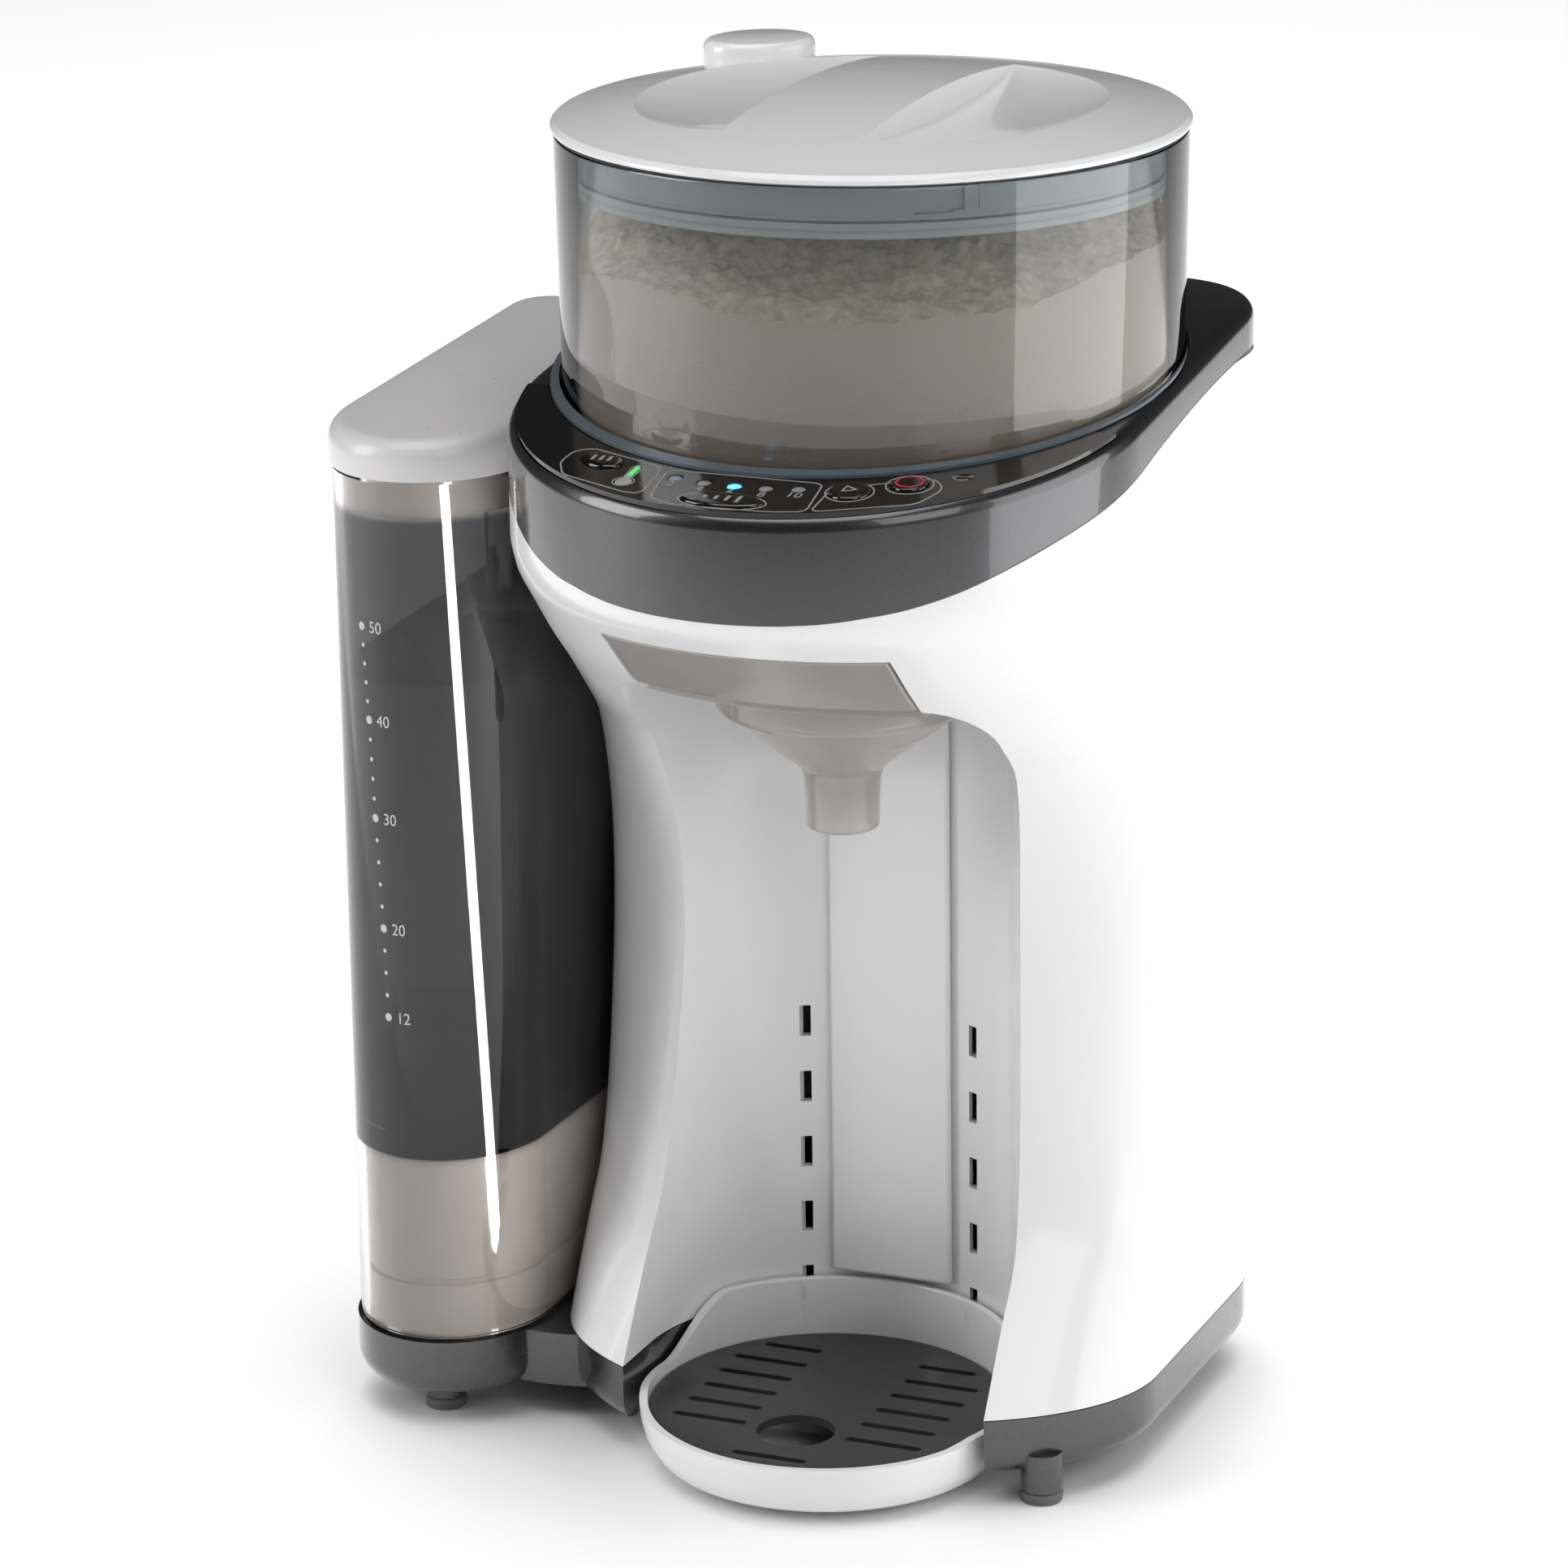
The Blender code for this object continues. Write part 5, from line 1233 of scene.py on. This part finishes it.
    def add_scale(self):
        """A dot every 2.5 units of the scale, and a numeral at each mark."""
        marks = []
        table = ((225.7, -110.1, "50"), (200.1, -106.7, "40"), (173.0, -104.3, "30"), (142.3, -101.0, "20"),
                 (117.3, -99.6, "12"))
        for z, angle, text in table:
            marks.append(self.on_wall(self.dot(1.15), angle, z))
            marks.append(self.on_wall(thicken(lettering(text, 3.3, 5.2, 0)), angle, z))
        for (z0, a0, _), (z1, a1, text) in zip(table, table[1:]):
            between = 4 if text != "12" else 3
            for i in range(1, between + 1):
                t = i / (between + 1)
                marks.append(self.on_wall(self.dot(0.6), a0 + (a1 - a0) * t, z0 + (z1 - z0) * t))
        show("tank_scale_print", merged(*marks), scale_ink(), "tank", (), crease=50)

    def dot(self, radius):
        bm = bmesh.new()
        bmesh.ops.create_circle(bm, cap_ends=True, radius=radius, segments=20)
        return thicken(bm)


class DISPENSER_OT_funnel(bpy.types.Operator):
    """Clear taupe funnel drawer and the splash bulb in it"""

    bl_idname = "dispenser.funnel"
    bl_label = "Funnel Drawer"

    def execute(self, context):
        plate = bmesh.new()
        bmesh.ops.create_grid(plate, x_segments=48, y_segments=14, size=0.5)
        for vert in plate.verts:
            x, z = vert.co.x * 77.6, 230.4 + vert.co.y * 18.0
            nose_y, depth = smooth_value(NOSE, z)
            vert.co = (x, nose_y - depth * math.sqrt(1 - (x / HALF_WIDTH) ** 2), z)
        bmesh.ops.recalc_face_normals(plate, faces=plate.faces)
        if sum(f.normal.y for f in plate.faces) > 0:
            bmesh.ops.reverse_faces(plate, faces=plate.faces)
        bmesh.ops.solidify(plate, geom=list(plate.faces), thickness=3.0)
        bmesh.ops.recalc_face_normals(plate, faces=plate.faces)
        show("funnel_face", plate, taupe_clear(), "funnel", ("funnel_drawer",), edge=0.8, crease=40)
        nose_y, depth = smooth_value(NOSE, 219.0)
        front = [(-38.8 + 77.6 * i / 40) for i in range(41)]
        plan = [(x, nose_y - depth * math.sqrt(1 - (x / HALF_WIDTH) ** 2) + 3.4) for x in front]
        shelf = slab(plan + [(38.8, 10), (-38.8, 10)], 218.0, 221.2)
        profile = [(FUNNEL_RADIUS, 219.6), (FUNNEL_RADIUS, 208.0), (SPOUT_RADIUS + 1.2, 191.0), (SPOUT_RADIUS, 188.0),
                   (SPOUT_RADIUS - 0.6, 174.0), (SPOUT_RADIUS - 2.2, 174.0), (SPOUT_RADIUS - 2.0, 188.0),
                   (FUNNEL_RADIUS - 2.0, 209.6), (FUNNEL_RADIUS - 2.0, 219.6)]
        cone = turned(bead(profile, 1.6), (0, FUNNEL_Y, 0), 128, closed=True)
        hole = rod(FUNNEL_RADIUS - 1.0, 210, 230, (0, FUNNEL_Y, 0), 128)
        shelf = carve(carve(shelf, hole), cone, operation="UNION")
        show("funnel_cone", shelf, taupe_clear(), "funnel", (), edge=0.4, crease=40)
        outer = [(5.0, 207.6), (8.4, 205.4), (10.4, 201.2), (10.4, 198.4), (7.4, 193.0), (7.0, 182.0)]
        inner = [(5.4, 182.0), (5.8, 193.4), (8.6, 198.8), (8.6, 201.0), (7.0, 204.0), (4.2, 206.0)]
        bulb = turned(bead(outer + inner, 1.5), (0, FUNNEL_Y, 0), 96, closed=True)
        show("splash_bulb_shell", bulb, clear_styrene(), "funnel", ("splash_bulb",), crease=50)
        return {"FINISHED"}


class DISPENSER_OT_stand(bpy.types.Operator):
    """White bottle stand and its slotted drip grid"""

    bl_idname = "dispenser.stand"
    bl_label = "Bottle Stand"

    def execute(self, context):
        r, foot = STAND_RADIUS, STAND_FOOT_RADIUS
        profile = [(0, 4.6), (foot - 2, 4.6), (r - 4.0, 8.6), (r - 2.2, 14), (r - 2.2, 32.0), (r - 0.5, 32.0),
                   (r, 31), (r, 14), (r - 1.6, 8), (foot, 3.2), (foot - 3, 2.4), (0, 2.4)]
        dish = turned(bead(profile, 2.2), (0, BAY_Y, 0), 168)
        sweep = [(-100, 17.0), (-70, 17.0), (-62, 17.2), (-54, 18.2)]
        sweep += [(-34 + 26 * i / 20, 17.6 + 14.8 * (3 * (i / 20) ** 2 - 2 * (i / 20) ** 3)) for i in range(21)]
        sweep += [(20, 32.6), (20, 60), (-100, 60)]
        dish = carve(dish, skin([[(x, y, z) for y, z in sweep] for x in (-70, 70)]))
        hooks = [block((side * SLOT_X, 8.0, SLOT_Z - 2.2), (2.0, 10.0, 4.0)) for side in (-1, 1)]
        dish = carve(dish, *hooks, operation="UNION")
        show("stand_dish", dish, white_abs(), "stand", ("bottle_stand",), edge=0.6, crease=38)
        self.add_grid()
        return {"FINISHED"}

    def add_grid(self):
        plate = turned([(0, 15.9), (47.2, 15.9), (47.6, 15.7), (47.8, 15.2), (47.8, 13.6), (0, 13.6)],
                       (0, BAY_Y, 0), 168)
        cuts = [rod(10.6, 0, 30, (0, -61.5, 0), 96)]
        for i in range(8):
            row_y = -61.5 + 10.6 * i
            if row_y > BAY_Y + 38:
                break
            outer = min(35.8, math.sqrt(43.5**2 - (row_y - BAY_Y) ** 2))
            for side in (-1, 1):
                middle = side * (14.4 + outer) / 2
                cuts.append(slab([(middle + x, row_y + y) for x, y in pill(outer - 14.4, 2.6)], 9, 21))
        cuts.append(slab([(x, -80.0 + y) for x, y in pill(21.0, 2.6)], 9, 21))
        posts = [rod(2.4, 5.0, 14.5, (36 * math.cos(a), BAY_Y + 36 * math.sin(a), 0), 24)
                 for a in (math.radians(45 + 90 * i) for i in range(4))]
        plate = carve(carve(plate, *posts, operation="UNION"), *cuts)
        show("drip_grid_plate", plate, charcoal(), "grid", ("drip_grid",), edge=0.45, crease=40)


class DISPENSER_OT_works(bpy.types.Operator):
    """Finishes for the back, the works and the other pieces kept from the frame"""

    bl_idname = "dispenser.works"
    bl_label = "Works and Back"

    def execute(self, context):
        looks = {
            white_abs: ("rear_cover", "powder_deck", "powder_chute", "dosing_wheel", "stirrer"),
            charcoal: ("drive_motor", "water_nozzle", "water_pump", "tank_socket", "switch_bezel", "tank_float"),
            black_panel: ("power_switch",),
            rubber: ("cord_gland", "socket_ring"),
            steel: ("drive_dog", "water_heater"),
            silicone: ("suction_hose", "feed_hose", "hot_hose", "tank_valve"),
            circuit: ("main_board", "control_board"),
            clear_styrene: ("float_guide",),
        }
        for finish, names in looks.items():
            for name in names:
                node = frame["nodes"][name]
                made = finish()
                if not node.material_slots:
                    node.data.materials.append(made)
                for slot in node.material_slots:
                    slot.material = made
        return {"FINISHED"}


class DISPENSER_PT_pieces(bpy.types.Panel):
    """Sidebar panel that lists the settings and the pieces"""

    bl_label = "Formula Dispenser"
    bl_idname = "DISPENSER_PT_pieces"
    bl_space_type = "VIEW_3D"
    bl_region_type = "UI"
    bl_category = "Dispenser"

    def draw(self, context):
        for group in (context.scene.dispenser_sizes, context.scene.dispenser_colours):
            for name in group.bl_rna.properties.keys():
                if name not in {"rna_type", "name"}:
                    self.layout.prop(group, name)
        for piece in PIECES:
            self.layout.operator(piece.bl_idname)


PIECES = (
    DISPENSER_OT_stage, DISPENSER_OT_housing, DISPENSER_OT_band, DISPENSER_OT_panel, DISPENSER_OT_base,
    DISPENSER_OT_container, DISPENSER_OT_lid, DISPENSER_OT_tank, DISPENSER_OT_funnel, DISPENSER_OT_stand,
    DISPENSER_OT_works,
)
CLASSES = (DispenserColours, DispenserSizes, *PIECES, DISPENSER_PT_pieces)


def register():
    for cls in CLASSES:
        bpy.utils.register_class(cls)
    bpy.types.Scene.dispenser_sizes = PointerProperty(type=DispenserSizes)
    bpy.types.Scene.dispenser_colours = PointerProperty(type=DispenserColours)


def unregister():
    del bpy.types.Scene.dispenser_colours
    del bpy.types.Scene.dispenser_sizes
    for cls in reversed(CLASSES):
        bpy.utils.unregister_class(cls)


def main():
    register()
    bpy.ops.dispenser.stage()
    bpy.ops.dispenser.housing()
    bpy.ops.dispenser.band()
    bpy.ops.dispenser.panel()
    bpy.ops.dispenser.base()
    bpy.ops.dispenser.container()
    bpy.ops.dispenser.lid()
    bpy.ops.dispenser.tank()
    bpy.ops.dispenser.funnel()
    bpy.ops.dispenser.stand()
    bpy.ops.dispenser.works()


if __name__ == "__main__":
    main()
